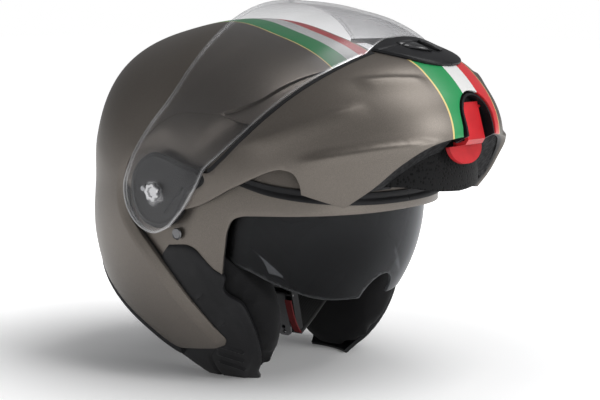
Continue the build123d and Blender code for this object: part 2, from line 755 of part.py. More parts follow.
def make_release_lever():
    """Red lever: a tab in the recess, a foot under the lip and a skirt for the fingers."""
    skirt, low = skirt_place()
    lever = prism(lever_side(), -tab_half_width, tab_half_width)
    lever += lever_pin(0)
    face = lip_frame(skirt, low) * Ellipse(skirt_half_width, skirt_height)
    plate = extrude(face, amount=tab_thickness)
    keep = lip_frame(skirt, low) * Pos(0, -skirt_height, 0) * Box(
        2 * skirt_half_width, 2 * skirt_height, 4 * tab_thickness)
    return largest(lever + (plate & keep))


def make_visor():
    """Clear visor with a round lobe at each end."""
    outline = at_crown_scale(visor_rear_shares + visor_front_shares)
    visor = (visor_body(0) - visor_body(visor_wall)) & prism(outline)
    visor -= tongue(0)
    cap = visor_half_width * body_stations[-1]
    visor -= both_sides(pin(0, 0, pin_radius + gap / 2, cap - 2 * visor_wall, cap + gap))
    return largest(visor)


def make_visor_base():
    """Left black plate on the arm's hub, which the visor's lobe turns over."""
    start = hub_inner + hub_thickness
    end = (visor_half_width - visor_wall) * body_stations[-1] - running_clearance
    plate = prism(at_crown_scale(base_shares), start, end)
    plate &= visor_body(visor_wall + running_clearance)
    return largest(plate - pin(0, 0, pin_radius + gap / 2, start - gap, end + gap))


def catch_hinge():
    """The catch's pin, beside the place of the striker in the raised chin bar's own frame."""
    y, z = striker_place()
    angle = math.degrees(math.atan2(z, -y)) + chin_travel
    return lip_point(angle, math.hypot(y, z) + catch_arm)


def catch_end():
    return hub_inner + gap + catch_thickness


def make_catch():
    """Left catch of the chin bar: a hook whose finger comes under the striker when it turns shut."""
    y, z = striker_place()
    angle = math.degrees(math.atan2(z, -y)) + chin_travel
    reach = math.hypot(y, z)
    plane = Plane(origin=(0, 0, 0), x_dir=(0, *lip_point(angle, 1)), z_dir=(1, 0, 0))
    drop = -striker_radius - 3 * gap
    hook = [(reach + catch_arm - catch_width, 0), (reach + catch_arm + catch_width, 0),
            (reach + catch_arm + catch_width / 2, drop - catch_width),
            (reach, drop - catch_width), (reach, drop), (reach + catch_arm - catch_width, drop)]
    face = make_face(Polyline(*hook, close=True)) + Pos(reach + catch_arm, 0) * Circle(catch_width)
    hinge = Plane(origin=(hub_inner + gap, *catch_hinge()), x_dir=(0, *lip_point(angle, 1)), z_dir=(1, 0, 0))
    face = Pos(-(reach + catch_arm), 0) * face
    turned = hinge * Rot(0, 0, catch_travel) * extrude(face, amount=catch_thickness)
    hy, hz = catch_hinge()
    return turned + pin(hy, hz, catch_pin_radius, catch_end(), catch_end() + catch_thickness)


def band(points, thickness, width, middle):
    """A flat band: a smooth line in the front view (x, z) with a thickness, and a width along Y."""
    face = Plane.XZ.offset(-middle) * make_face(strip_edges(points, thickness))
    return extrude(face, amount=width / 2, both=True)


def strip_edges(points, thickness):
    """The edge of a strip along a smooth line."""
    over, under = beside(points, thickness / 2), beside(points, -thickness / 2)
    return Spline(*over) + Line(over[-1], under[-1]) + Spline(*under) + Line(under[0], over[0])


def strap_line(shares):
    """A strap's line in the front view, on the left side."""
    return [(x * strap_end, z * crown_radius) for x, z in shares]


def make_strap(shares):
    """A strap on the left side, flat against its anchor and then down to the buckle."""
    strap = band(strap_line(shares), strap_thickness, strap_width, strap_place)
    return strap - strap_rivet(gap / 2)


def strap_slot(shares):
    """The way of a strap through the cheek pad, with the pocket for its anchor."""
    room = 2 * soft_clearance
    slot = band(strap_line(shares), strap_thickness + room, strap_width + room, strap_place)
    start = strap_end - strap_thickness / 2 - rivet_head - soft_clearance
    tall = anchor_length + 2 * room
    pocket = Pos((start + cheek_outer) / 2, strap_place, anchor_place) * Box(
        cheek_outer - start, strap_width + room, tall)
    return slot + pocket


def make_anchor():
    """Left steel plate between the strap's end and the shell."""
    x = strap_end + strap_thickness / 2 + gap + anchor_thickness / 2
    plate = Pos(x, strap_place, anchor_place) * Box(anchor_thickness, strap_width, anchor_length)
    return plate - strap_rivet(gap / 2)


def strap_rivet(by=0.0):
    """Left rivet through the strap's end, its plate and the shell, flush with the cover's seat."""
    start = strap_end - strap_thickness / 2 - rivet_head
    shank = pin(strap_place, anchor_place, rivet_radius / 2 + by, start, cheek_outer)
    head = pin(strap_place, anchor_place, rivet_radius + by, start - gap, start + rivet_head - gap)
    return (shank & front_body(cover_wall - cover_proud)) + head


def buckle_plane():
    """The buckle's own plane: x down its length, y across the strap, z out of its lever side."""
    a = math.radians(buckle_tilt)
    x, z = buckle_middle
    return Plane(origin=(x, strap_place, z), x_dir=(math.sin(a), 0, -math.cos(a)),
                 z_dir=(-math.cos(a), 0, -math.sin(a)))


def make_buckle_body():
    """Steel channel with two cheeks, open at both ends for the strap and the tongue."""
    block = Box(buckle_length, buckle_width, buckle_height)
    room = Pos(0, 0, buckle_wall) * Box(buckle_length + buckle_wall, buckle_width - 2 * buckle_wall,
                                        buckle_height)
    block -= room
    hinge = Pos(-buckle_length / 2 + 2 * buckle_wall, 0, buckle_height / 2 - buckle_wall) * Rot(90, 0, 0)
    block -= hinge * Cylinder(buckle_wall / 2 + gap / 2, buckle_width + buckle_wall)
    return buckle_plane() * block


def make_buckle_lever():
    """Black lever on a pin between the buckle's cheeks, with two holes near its free end."""
    start = clasp_start()
    level = buckle_height / 2 - buckle_wall
    plate = Pos(start + clasp_length / 2, 0, level + clasp_thickness / 2) * Box(
        clasp_length, clasp_width, clasp_thickness)
    plate = fillet(plate.edges().filter_by(Axis.Z).sort_by(Axis.X)[-2:], clasp_width / 3)
    barrel = Pos(start, 0, level) * Rot(90, 0, 0)
    plate += barrel * Cylinder(clasp_thickness, clasp_width)
    plate += barrel * Cylinder(buckle_wall / 2, buckle_width - gap)
    for share in clasp_hole_shares:
        plate -= Pos(start + share * clasp_length, 0, level) * Cylinder(clasp_hole_radius, 4 * clasp_thickness)
    return buckle_plane() * plate


def clasp_start():
    """The place of the buckle lever's pin along the buckle."""
    return 2 * buckle_wall - buckle_length / 2


def make_tongue():
    """Toothed tongue on the left strap's end, inside the buckle."""
    length = buckle_length + strap_thickness
    level = -buckle_height / 2 + buckle_wall + gap + tongue_thickness / 2
    tongue = Pos(strap_thickness, 0, level) * Box(length, tongue_width, tongue_thickness)
    count = int(length / tooth_pitch) - 1
    tooth = Rot(90, 0, 0) * Cylinder(tooth_pitch / 4, tongue_width + gap)
    for i in range(count):
        place = strap_thickness - length / 2 + (i + 1) * tooth_pitch
        tongue -= Pos(place, 0, level + tongue_thickness / 2) * tooth
    return buckle_plane() * tongue


def make_ribbon():
    """Red pull ribbon, sewn to the side of the lever."""
    start = clasp_start() + 2 * buckle_wall
    level = (buckle_height + clasp_thickness) / 2
    over = [(start + u * ribbon_length, clasp_width / 2 + gap + v * ribbon_length) for u, v in ribbon_shares]
    under = [(x, y + ribbon_width) for x, y in over]
    edges = Spline(*over) + Line(over[-1], under[-1]) + Spline(*under) + Line(under[0], over[0])
    return buckle_plane() * Pos(0, 0, level) * extrude(make_face(edges), amount=ribbon_thickness)


def rail_plane():
    """The slider's plane: x backwards along the left bottom edge, y across it, z outwards."""
    a = math.radians(rail_tilt)
    place = [share * crown_radius for share in rail_middle_shares]
    return Plane(origin=place, x_dir=(0, math.cos(a), math.sin(a)), z_dir=(1, 0, 0))


def rail_block(by=0.0):
    return rail_plane() * Box(rail_length + 2 * by, rail_width + 2 * by, rail_thickness + 2 * by)


def make_rail():
    """Rail of the sun visor's slider, with a groove for its knob."""
    groove = Pos(0, 0, rail_thickness / 2) * Box(
        rail_length - 2 * rail_thickness, rail_groove, rail_thickness)
    return rail_block() - rail_plane() * groove


def make_knob():
    """Ribbed slider knob with its foot in the rail's groove, at the front end of its travel."""
    start = rail_thickness + gap + (knob_length - rail_length) / 2
    level = rail_thickness / 2 + gap
    knob = Pos(start, 0, level + knob_height / 2) * Box(knob_length, knob_width, knob_height)
    nick = Rot(90, 0, 0) * Cylinder(knob_height / 4, knob_width + gap)
    for i in (-1, 0, 1):
        knob -= Pos(start + i * knob_length / 4, 0, level + knob_height) * nick
    foot = rail_thickness / 2 - gap
    knob += Pos(start, 0, level - foot / 2) * Box(knob_length - gap, rail_groove - 2 * gap, foot)
    return rail_plane() * knob


def mirrored(shape):
    return mirror(shape, about=Plane.YZ)


def make_all():
    """Every piece by its name, about the turning axis of the chin bar."""
    pieces = {
        "outer_shell": make_shell(),
        "eyeport_seal": make_seal(),
        "foam_liner": make_foam(),
        "crown_pad": make_crown_pad(),
        "neck_roll": make_neck_roll(),
        "rear_edge_trim": make_trim(),
        "sun_visor": make_sun_visor(),
        "chin_bar": make_chin_bar(),
        "chin_gasket": make_chin_gasket(),
        "chin_foam": make_chin_foam(),
        "chin_curtain": make_curtain(),
        "breath_deflector": make_deflector(),
        "vent_frame": make_vent_frame(),
        "vent_flap": make_vent_flap(),
        "lever_bezel": make_bezel(),
        "release_lever": make_release_lever(),
        "clear_visor": make_visor(),
        "slider_rail": make_rail(),
        "slider_knob": make_knob(),
        "strap_left": make_strap(left_strap_shares),
        "strap_right": mirrored(make_strap(right_strap_shares)),
        "strap_rivets": both_sides(strap_rivet()),
        "buckle_body": make_buckle_body(),
        "buckle_tongue": make_tongue(),
        "buckle_lever": make_buckle_lever(),
        "pull_ribbon": make_ribbon(),
    }
    pairs = {
        "side_cover": make_cover(),
        "striker": make_striker(),
        "hinge_plate": make_hinge_plate(),
        "pivot_screw": make_screw(),
        "sun_visor_pin": make_sun_pin(),
        "visor_base": make_visor_base(),
        "latch_catch": make_catch(),
        "strap_anchor": make_anchor(),
    }
    for name, piece in pairs.items():
        pieces[name + "_left"] = piece
        pieces[name + "_right"] = mirrored(piece)
    pieces["cheek_pad_left"] = make_cheek_pad(left_strap_shares)
    pieces["cheek_pad_right"] = mirrored(make_cheek_pad(right_strap_shares))
    return pieces


def main():
    pieces = make_all()
    boxes = [piece.bounding_box() for piece in pieces.values()]
    middle = (min(box.min.Y for box in boxes) + max(box.max.Y for box in boxes)) / 2
    move = Pos(0, -middle, stand_height)
    os.makedirs("parts", exist_ok=True)
    for name, piece in pieces.items():
        export_step(move * Compound(children=piece.solids()), os.path.join("parts", name + ".step"))
    print(f"turning axis of the chin bar at y = {-middle:.4f}, z = {stand_height:.4f}")


if __name__ == "__main__":
    main()
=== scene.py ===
import json
import math

import bmesh
import bpy
import numpy as np
from bpy.props import FloatProperty, FloatVectorProperty, PointerProperty
from mathutils import Matrix, Vector, geometry


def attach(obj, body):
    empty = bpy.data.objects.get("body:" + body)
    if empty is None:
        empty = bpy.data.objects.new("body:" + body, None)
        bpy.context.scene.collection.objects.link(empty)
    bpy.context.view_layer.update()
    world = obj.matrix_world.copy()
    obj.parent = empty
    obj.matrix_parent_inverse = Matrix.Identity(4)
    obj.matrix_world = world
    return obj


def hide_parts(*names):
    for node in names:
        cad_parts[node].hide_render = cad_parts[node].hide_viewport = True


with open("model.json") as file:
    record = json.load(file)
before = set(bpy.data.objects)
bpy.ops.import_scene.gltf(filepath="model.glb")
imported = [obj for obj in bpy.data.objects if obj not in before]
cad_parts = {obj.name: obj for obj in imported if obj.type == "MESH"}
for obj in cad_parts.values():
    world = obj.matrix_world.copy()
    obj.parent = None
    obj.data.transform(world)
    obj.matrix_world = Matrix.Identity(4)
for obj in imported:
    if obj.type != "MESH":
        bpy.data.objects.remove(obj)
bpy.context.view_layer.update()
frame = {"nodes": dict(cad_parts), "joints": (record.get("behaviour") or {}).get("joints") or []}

bl_info = {
    "name": "Flip-up motorcycle helmet",
    "version": (1, 0, 0),
    "blender": (4, 5, 0),
    "location": "3D View > Sidebar > Helmet",
    "description": "Dresses the packed helmet: painted shells, visors, padding, trim and its studio",
    "category": "Add Mesh",
}

# The shapes are worked out in millimetres about the chin bar's turning axis, which runs along X.
# In the side view y is forwards negative and z up; angles start at the front and rise over the crown.
AXIS = np.array(next(j["pos_m"] for j in frame["joints"] if j["name"] == "chin_bar_hinge"))
FLOOR = -1000 * AXIS[2]
CROWN = 123.0
CAP = 0.985  # share of the half width where each body ends in a flat side
FULL = 90.0  # the side plane's radius, where both halves meet
HEXAGON = 0.866  # the rows of a hexagonal grid against its spacing
EDGE_ROOM = 0.6  # how near an edge the grid comes, as a share of its spacing

SHELL_SHARES = {
    -130: 1.236, -105: 1.293, -80: 1.317, -50: 1.22, -20: 1.114, 0: 1.081, 40: 1.049, 70: 0.976,
    90: 1.0, 110: 1.024, 135: 1.106, 160: 1.065, 180: 1.024, 205: 1.13,
}
CHIN_SHARES = {
    -50: 0.82, -20: 0.861, -2: 0.906, 14: 1.0, 28: 0.948, 40: 0.832, 60: 0.73, 100: 0.69, 180: 0.69,
    250: 0.73,
}
VISOR_SHARES = {
    -60: 1.187, -20: 1.22, 20: 1.237, 42: 1.201, 51: 1.151, 62: 1.076, 82: 1.0, 120: 1.0, 180: 1.0,
    240: 1.08,
}
ROUND_SHARES = {0: 1.0, 90: 1.0, 180: 1.0, 270: 1.0}


class Form:
    """A closed body: |x / half width|^power + (r / R(angle))^power = 1, where R runs smoothly through
    its shares by cubic pieces with mean slopes. Its side plane holds the angle about the axis as it is,
    and as radius the angle from the side (0) to the middle of the head (90)."""

    def __init__(self, half_width, power, radius, shares, drop=0.0, centre=(0.0, 0.0)):
        self.half_width, self.power, self.radius, self.drop = half_width, power, radius, drop
        self.centre = np.array(centre)
        knots = np.array(sorted((angle % 360, share) for angle, share in shares.items()))
        self.angles = np.concatenate([knots[:, 0] - 360, knots[:, 0], knots[:, 0] + 360])
        self.shares = np.tile(knots[:, 1], 3)
        slopes = (self.shares[2:] - self.shares[:-2]) / (self.angles[2:] - self.angles[:-2])
        self.slopes = np.concatenate([[0], slopes, [0]])
        self.scale = radius * math.pi / 180  # millimetres to a degree of the side plane

    def reach(self, angle, inset=0.0):
        """The radius in the middle at an angle."""
        angle = np.asarray(angle, float) % 360
        i = np.searchsorted(self.angles, angle, side="right") - 1
        span = self.angles[i + 1] - self.angles[i]
        t = (angle - self.angles[i]) / span
        share = (
            self.shares[i] * (1 + 2 * t) * (1 - t) ** 2 + self.slopes[i] * span * t * (1 - t) ** 2
            + self.shares[i + 1] * t * t * (3 - 2 * t) - self.slopes[i + 1] * span * t * t * (1 - t)
        )
        return self.radius * share - self.drop - inset

    def plane(self, line):
        """A line of the side view (y, z) in the side plane."""
        y, z = (np.asarray(line, float) - self.centre).T
        angle = np.degrees(np.arctan2(z, -y))
        share = np.hypot(y, z) / self.reach(angle)
        inner = np.degrees(np.arcsin(np.clip(share, 0, 1) ** (self.power / 2)))
        out = np.where(share > 1, FULL * share, inner)
        return np.stack([-out * np.cos(np.radians(angle)), out * np.sin(np.radians(angle))], -1)

    def plane_across(self, x, angle):
        """Points given by their distance from the middle and their angle, in the side plane."""
        share = np.clip(np.abs(x) / self.half_width, 0, 1)
        out = FULL - np.degrees(np.arcsin(share ** (self.power / 2)))
        angle = np.radians(angle)
        return np.stack([-out * np.cos(angle), out * np.sin(angle)], -1)

    def surface(self, points, inset=0.0):
        """Side-plane points on the body moved in by inset, as (x, y, z) on the left half."""
        angle = np.degrees(np.arctan2(points[:, 1], -points[:, 0]))
        out = np.radians(np.clip(np.hypot(*points.T), 0, FULL))
        wide = self.half_width - inset
        x = np.minimum(wide * np.cos(out) ** (2 / self.power), CAP * wide)
        x = np.where(out > math.pi / 2 - 1e-6, 0, x)
        r = self.reach(angle, inset) * np.sin(out) ** (2 / self.power)
        angle = np.radians(angle)
        return np.stack([x, self.centre[0] - r * np.cos(angle), self.centre[1] + r * np.sin(angle)], -1)


class Panel_form:
    """A flat side panel at a distance from the middle; its side plane is the side view itself."""

    def __init__(self, level):
        self.level, self.scale = level, 1.0

    def plane(self, line):
        return np.asarray(line, float)

    def surface(self, points, inset=0.0):
        return np.column_stack([np.zeros(len(points)) + self.level - inset, points])


SHELL = Form(125.0, 2.35, CROWN, SHELL_SHARES)
FRONT = Form(118.0, 2.35, CROWN, SHELL_SHARES, drop=1.0)
LINING = Form(90.0, 2.35, CROWN, SHELL_SHARES, drop=30.0)
CHIN = Form(126.5, 2.12, 202.0, CHIN_SHARES)
VISOR = Form(129.4, 2.2, 139.0, VISOR_SHARES)
SUN = Form(108.0, 2.2, 125.0, ROUND_SHARES, centre=(0.0, -12.0))
CURTAIN = Form(112.0, 2.12, 178.0, ROUND_SHARES)


# Lines ---------------------------------------------------------------------------------------------

def smooth(points, step=1.5):
    """A smooth line through points: cubic pieces whose slopes are the mean direction at each point,
    held back to twice the shorter neighbouring piece, sampled at about a step."""
    p = np.asarray(points, float)
    length = np.linalg.norm(np.diff(p, axis=0), axis=1)
    way = np.gradient(p, np.concatenate([[0], np.cumsum(length)]), axis=0)
    way /= np.linalg.norm(way, axis=1)[:, None]
    short = np.minimum(np.append(length, length[-1]), np.append(length[0], length))
    pieces = []
    for i, span in enumerate(length):
        t = np.linspace(0, 1, max(2, int(math.ceil(span / step)) + 1))[:-1, None]
        pieces.append(
            p[i] * (1 + 2 * t) * (1 - t) ** 2 + way[i] * min(span, 2 * short[i]) * t * (1 - t) ** 2
            + p[i + 1] * t * t * (3 - 2 * t) - way[i + 1] * min(span, 2 * short[i + 1]) * t * t * (1 - t)
        )
    return np.vstack(pieces + [p[-1:]])


def straight(points, step=1.5):
    """The same without rounding."""
    p = np.asarray(points, float)
    pieces = []
    for a, b in zip(p[:-1], p[1:]):
        count = max(2, int(math.ceil(np.linalg.norm(b - a) / step)) + 1)
        pieces.append(a + (b - a) * np.linspace(0, 1, count)[:-1, None])
    return np.vstack(pieces + [p[-1:]])


def crown(points):
    """Points given in shares of the crown's radius, in millimetres."""
    return np.asarray(points, float) * CROWN


def curve(shares, step=1.5):
    """A smooth line through points given in shares of the crown's radius."""
    return smooth(crown(shares), step)


def circle(turn):
    """Points of the unit circle."""
    return np.stack([np.cos(turn), np.sin(turn)], -1)


def moved(line, by):
    """A line moved to its right by a distance, along its own normals."""
    way = np.gradient(line, axis=0)
    way /= np.linalg.norm(way, axis=1)[:, None] + 1e-9
    return line + by * np.stack([way[:, 1], -way[:, 0]], -1)


def inside(points, outline):
    """True for points inside a closed outline, by counting crossings of a ray to the right."""
    x, y = points[:, :1], points[:, 1:]
    a, b = outline, np.roll(outline, -1, axis=0)
    rise = np.where(a[:, 1] == b[:, 1], 1, b[:, 1] - a[:, 1])
    crossed = (a[:, 1] > y) != (b[:, 1] > y)
    at = a[:, 0] + (y - a[:, 1]) * (b[:, 0] - a[:, 0]) / rise
    return (crossed & (x < at)).sum(axis=1) % 2 == 1


def beside(points, line):
    """For each point its distance from a line, positive on the left of its direction, and how far
    along the line its nearest point lies, from 0 to 1."""
    a, b = line[:-1], line[1:]
    run = b - a
    rel = points[:, None, :] - a
    t = np.clip((rel * run).sum(-1) / np.maximum((run * run).sum(-1), 1e-12), 0, 1)
    off = rel - t[..., None] * run
    distance = np.hypot(off[..., 0], off[..., 1])
    at = distance.argmin(axis=1)
    rows = np.arange(len(points))
    side = np.sign(run[at, 0] * rel[rows, at, 1] - run[at, 1] * rel[rows, at, 0])
    along = (at + t[rows, at]) / len(run)
    return distance[rows, at] * np.where(side == 0, 1, side), along


def ease(value, low, high):
    """0 below low, 1 above high, and a smooth step between."""
    t = np.clip((value - low) / (high - low), 0, 1)
    return t * t * (3 - 2 * t)


def apart(points, line, form):
    """The distance of side-plane points from a line in millimetres, and how far along the line they lie."""
    off, along = beside(points, line)
    return np.abs(off) * form.scale, along


def between(points, first, second):
    """0 on the first line and 1 on the second, by the share of the two distances."""
    near, far = (np.abs(beside(points, line)[0]) for line in (first, second))
    return near / (near + far + 1e-6)


def bell(distance, width):
    """1 at no distance, with soft tails."""
    return np.exp(-(distance / width) ** 2)


def ridge(points, line, rise, left, right, scale):
    """A soft ridge along a line of the side plane: a bell across it, of one width on each side, that
    dies out over a quarter of its length at each end. Widths are in millimetres."""
    off, along = beside(points, line)
    off = off * scale
    return rise * bell(off, np.where(off > 0, left, right)) * ease(along, 0, 0.25) * ease(1 - along, 0, 0.25)


# Meshes --------------------------------------------------------------------------------------------

# Each piece's body, slot, finish, and the model's nodes that it takes the place of. In the names of a
# pair a star stands for left and right.
PIECES = {
    "shell_rear": ("helmet", "shell", "paint_shell", "outer_shell"),
    "shell_front": ("helmet", "shell", "paint_shell", "outer_shell"),
    "rear_trim": ("helmet", "rubber", "rubber", "rear_edge_trim"),
    "rear_trim_right": ("helmet", "rubber", "rubber", "rear_edge_trim"),
    "eyeport_lip": ("helmet", "rubber", "rubber", "eyeport_seal"),
    "side_covers": ("helmet", "black_plastic", "black_plastic", "side_cover_left", "side_cover_right"),
    "chin_bar_shell": ("chin_bar", "chin_shell", "paint_chin", "chin_bar"),
    "hub_*": ("chin_bar", "chin_shell", "black_plastic", "chin_bar"),
    "gasket": ("chin_bar", "rubber", "rubber", "chin_gasket"),
    "vent_wing": ("chin_bar", "black_plastic", "black_plastic", "vent_frame"),
    "vent_flap_panel": ("vent_flap", "gloss_black", "gloss_black", "vent_flap"),
    "curtain": ("chin_bar", "cloth", "mesh", "chin_curtain"),
    "visor_sheet": ("visor", "clear", "clear", "clear_visor"),
    "sun_lens": ("sun_visor", "smoke", "smoke", "sun_visor"),
    "visor_bases": ("chin_bar", "black_plastic", "base_plastic", "visor_base_left", "visor_base_right"),
    "pin_*": ("chin_bar", "steel", "steel", "visor_base_*"),
    "screw_*": ("helmet", "steel", "steel", "pivot_screw_*"),
    "crown_lining": ("helmet", "cloth", "cloth_fine", "crown_pad"),
    "neck_padding": ("helmet", "cloth", "cloth", "neck_roll"),
    "cheek_cushion_*": ("helmet", "cloth", "cloth", "cheek_pad_*"),
    "strap_band_*": ("helmet", "webbing", "webbing", "strap_*"),
    "striker_button_*": ("helmet", "steel", "dark_steel", "striker_*"),
}


def placed(points):
    return np.asarray(points, float) / 1000 + AXIS


def new_piece(name, points, faces):
    """A piece of the given points (in millimetres about the axis) and faces, as PIECES describes it."""
    side = name.rpartition("_")[2]
    body, slot, look, *nodes = PIECES[name if name in PIECES else name.replace(side, "*")]
    mesh = bpy.data.meshes.new(name)
    mesh.from_pydata(placed(points).tolist(), [], [list(map(int, f)) for f in faces])
    mesh.validate()
    piece = bpy.data.objects.new(name, mesh)
    bpy.context.scene.collection.objects.link(piece)
    mesh.materials.append(finish(look))
    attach(piece, body)
    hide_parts(*(node.replace("*", side) for node in nodes))
    return piece


def welded(piece, outwards=False):
    """Merges the doubles of a closed piece, and turns its faces outwards if asked."""
    net = bmesh.new()
    net.from_mesh(piece.data)
    bmesh.ops.remove_doubles(net, verts=net.verts, dist=2e-6)
    bmesh.ops.dissolve_degenerate(net, dist=1e-6, edges=net.edges)
    if outwards:
        bmesh.ops.recalc_face_normals(net, faces=net.faces)
    net.to_mesh(piece.data)
    net.free()
    return piece


def settled(piece):
    """Applies the modifiers of a piece to its mesh."""
    graph = bpy.context.evaluated_depsgraph_get()
    mesh = bpy.data.meshes.new_from_object(piece.evaluated_get(graph), depsgraph=graph)
    old = piece.data
    piece.modifiers.clear()
    piece.data = mesh
    mesh.name = piece.name
    if old.users == 0:
        bpy.data.meshes.remove(old)
    return piece


def polished(piece, sharp=38.0):
    """Smooth shading, with edges kept sharp past an angle in degrees."""
    piece.data.shade_smooth()
    if sharp:
        piece.data.set_sharp_from_angle(angle=math.radians(sharp))
    return piece


def rounded(piece, width, segments=2, angle=40.0):
    """A small radius on the edges of a piece, in millimetres."""
    bevel = piece.modifiers.new("Edges", "BEVEL")
    bevel.width = width / 1000
    bevel.segments = segments
    bevel.limit_method = "ANGLE"
    bevel.angle_limit = math.radians(angle)
    bevel.use_clamp_overlap = True
    bevel.miter_outer = "MITER_ARC"
    return settled(piece)


def netted(form, outlines, keep, spacing, lines=()):
    """Triangles over the part of a form's side plane that keep() takes of its outlines: the outlines
    and lines are edges, and a hexagonal grid fills what lies between."""
    body = isinstance(form, Form)
    turn = np.radians(np.arange(0, 360, 1.25))
    closed = [*outlines, FULL * circle(turn)] if body else list(outlines)
    edges, count = [], 0
    for number, line in enumerate([*closed, *lines]):
        first = np.arange(count, count + len(line))
        pairs = np.stack([first, np.roll(first, -1)], -1)
        edges.append(pairs if number < len(closed) else pairs[:-1])
        count += len(line)
    fixed = np.vstack([*closed, *lines])

    def taken(points):
        good = keep(*[inside(points, o) for o in outlines])
        if body:
            good &= np.hypot(*points.T) < FULL
        return good

    step = spacing / form.scale
    low, high = fixed.min(0), fixed.max(0)
    if body:
        low, high = np.maximum(low, -FULL), np.minimum(high, FULL)
    u, v = np.meshgrid(np.arange(low[0], high[0], step), np.arange(low[1], high[1], step * HEXAGON))
    u = u + (np.arange(len(v)) % 2)[:, None] * step / 2
    grid = np.stack([u.ravel(), v.ravel()], -1)
    grid = grid[taken(grid)]
    clear = np.ones(len(grid), bool)
    for part in np.array_split(fixed, max(1, len(fixed) // 200)):
        near = np.hypot(grid[:, :1] - part[:, 0], grid[:, 1:] - part[:, 1]).min(1)
        clear &= near > EDGE_ROOM * step
    every = np.vstack([fixed, grid[clear]])
    found = geometry.delaunay_2d_cdt(
        [Vector(p) for p in every.tolist()], np.vstack(edges).tolist(), [], 0, 1e-5)
    points = np.array([tuple(p) for p in found[0]])
    faces = np.array([tuple(f) for f in found[2]], int)
    faces = faces[taken(points[faces].mean(1))]
    used, back = np.unique(faces, return_inverse=True)
    points, faces = points[used], back.reshape(faces.shape)
    if body:
        out = np.hypot(*points.T)
        points = np.where((out > FULL - 1e-3)[:, None], points * (FULL / np.maximum(out, 1e-9))[:, None], points)
    a, b, c = points[faces[:, 0]], points[faces[:, 1]], points[faces[:, 2]]
    area = (b[:, 0] - a[:, 0]) * (c[:, 1] - a[:, 1]) - (b[:, 1] - a[:, 1]) * (c[:, 0] - a[:, 0])
    real = np.abs(area) > 1e-7
    faces, area = faces[real], area[real]
    faces[area < 0] = faces[area < 0][:, ::-1]
    return points, faces


def walled(form, points, faces, outer, inner, sides=(1, -1), shape=None):
    """Both skins of a wall and its rim. Outer and inner are insets in millimetres, numbers or one
    for each point; shape() may move the outer skin's points. Mirrored to the sides asked for."""
    top = form.surface(points, outer)
    if shape is not None:
        top = shape(points, top)
    low = form.surface(points, inner)
    n = len(points)
    half = np.concatenate([faces[:, [0, 1]], faces[:, [1, 2]], faces[:, [2, 0]]])
    key = np.sort(half, axis=1)
    _, first, times = np.unique(key, axis=0, return_index=True, return_counts=True)
    border = half[first[times == 1]]
    middle = np.abs(top[:, 0]) < 1e-4
    border = border[~(middle[border[:, 0]] & middle[border[:, 1]])]
    a, b = border.T
    rim = np.concatenate([np.stack([b, a, a + n], -1), np.stack([b, a + n, b + n], -1)])
    shell = np.concatenate([faces, faces[:, ::-1] + n, rim])
    skin = np.vstack([top, low])
    all_points, all_faces = [], []
    for k, side in enumerate(sides):
        all_points.append(skin * [side, 1, 1])
        all_faces.append((shell if side > 0 else shell[:, ::-1]) + k * len(skin))
    edge = np.zeros(n)
    edge[border] = 1
    marks = {"inner": np.tile(np.repeat([0.0, 1.0], n), len(sides)), "edge": np.tile(edge, 2 * len(sides))}
    return np.vstack(all_points), np.vstack(all_faces), marks


def skin(name, form, outlines, keep, outer, inner, spacing, lines=(), sides=(1, -1), shape=None, edge=0.0):
    """A walled piece on a form, cut by outlines of its side plane."""
    points, faces = netted(form, outlines, keep, spacing, lines)
    outer = outer(points) if callable(outer) else outer
    inner = inner(points) if callable(inner) else inner
    where, what, marks = walled(form, points, faces, outer, inner, sides, shape)
    piece = new_piece(name, where, what)
    for key, values in marks.items():
        piece.data.attributes.new(key, "FLOAT", "POINT").data.foreach_set("value", values)
    welded(piece)
    if edge:
        rounded(piece, edge)
    return polished(piece)


def gridded(points):
    """Points and quads of a surface whose grid is (rows, columns, 3), closed from its last column to
    its first."""
    rows, columns = points.shape[:2]
    i, j = (g.ravel() for g in np.meshgrid(np.arange(rows - 1), np.arange(columns), indexing="ij"))
    k, m = i + 1, (j + 1) % columns
    quads = np.stack([i * columns + j, k * columns + j, k * columns + m, i * columns + m], -1)
    return points.reshape(-1, 3), quads


def swept(name, path, section, across):
    """A section (across, up) carried along a path with end caps. Each ring stands across the path,
    its across direction kept nearest to the given one."""
    across, section = np.asarray(across, float), np.asarray(section, float)
    way = np.gradient(path, axis=0)
    way /= np.linalg.norm(way, axis=1)[:, None]
    side = across - (way @ across)[:, None] * way
    side /= np.linalg.norm(side, axis=1)[:, None]
    up = np.cross(side, way)
    rings = path[:, None] + section[None, :, :1] * side[:, None] + section[None, :, 1:] * up[:, None]
    points, quads = gridded(rings)
    n, last = len(section), (len(path) - 1) * len(section)
    faces = quads.tolist() + [list(range(n)), list(range(last + n - 1, last - 1, -1))]
    return welded(new_piece(name, points, faces), outwards=True)


def turned(name, centre, profile, side, count, lobes=0, depth=0.0):
    """A profile of (x, radius) turned about an axis along X through a centre (y, z); the radius may
    swell in lobes: r * (1 + depth * cos(lobes * turn))."""
    turn = np.linspace(0, 2 * math.pi, count, endpoint=False)
    x, r = np.asarray(profile, float).T[..., None]
    r = r * (1 + depth * np.cos(lobes * turn))
    grid = np.stack([side * x + 0 * r, centre[0] + r * np.cos(turn), centre[1] + r * np.sin(turn)], -1)
    points, quads = gridded(grid)
    return welded(new_piece(name, points, quads), outwards=True)


def joined(first, *others):
    """Adds the meshes of other pieces to the first."""
    net = bmesh.new()
    for piece in (first, *others):
        net.from_mesh(piece.data)
    net.to_mesh(first.data)
    net.free()
    for piece in others:
        bpy.data.objects.remove(piece)
    return first


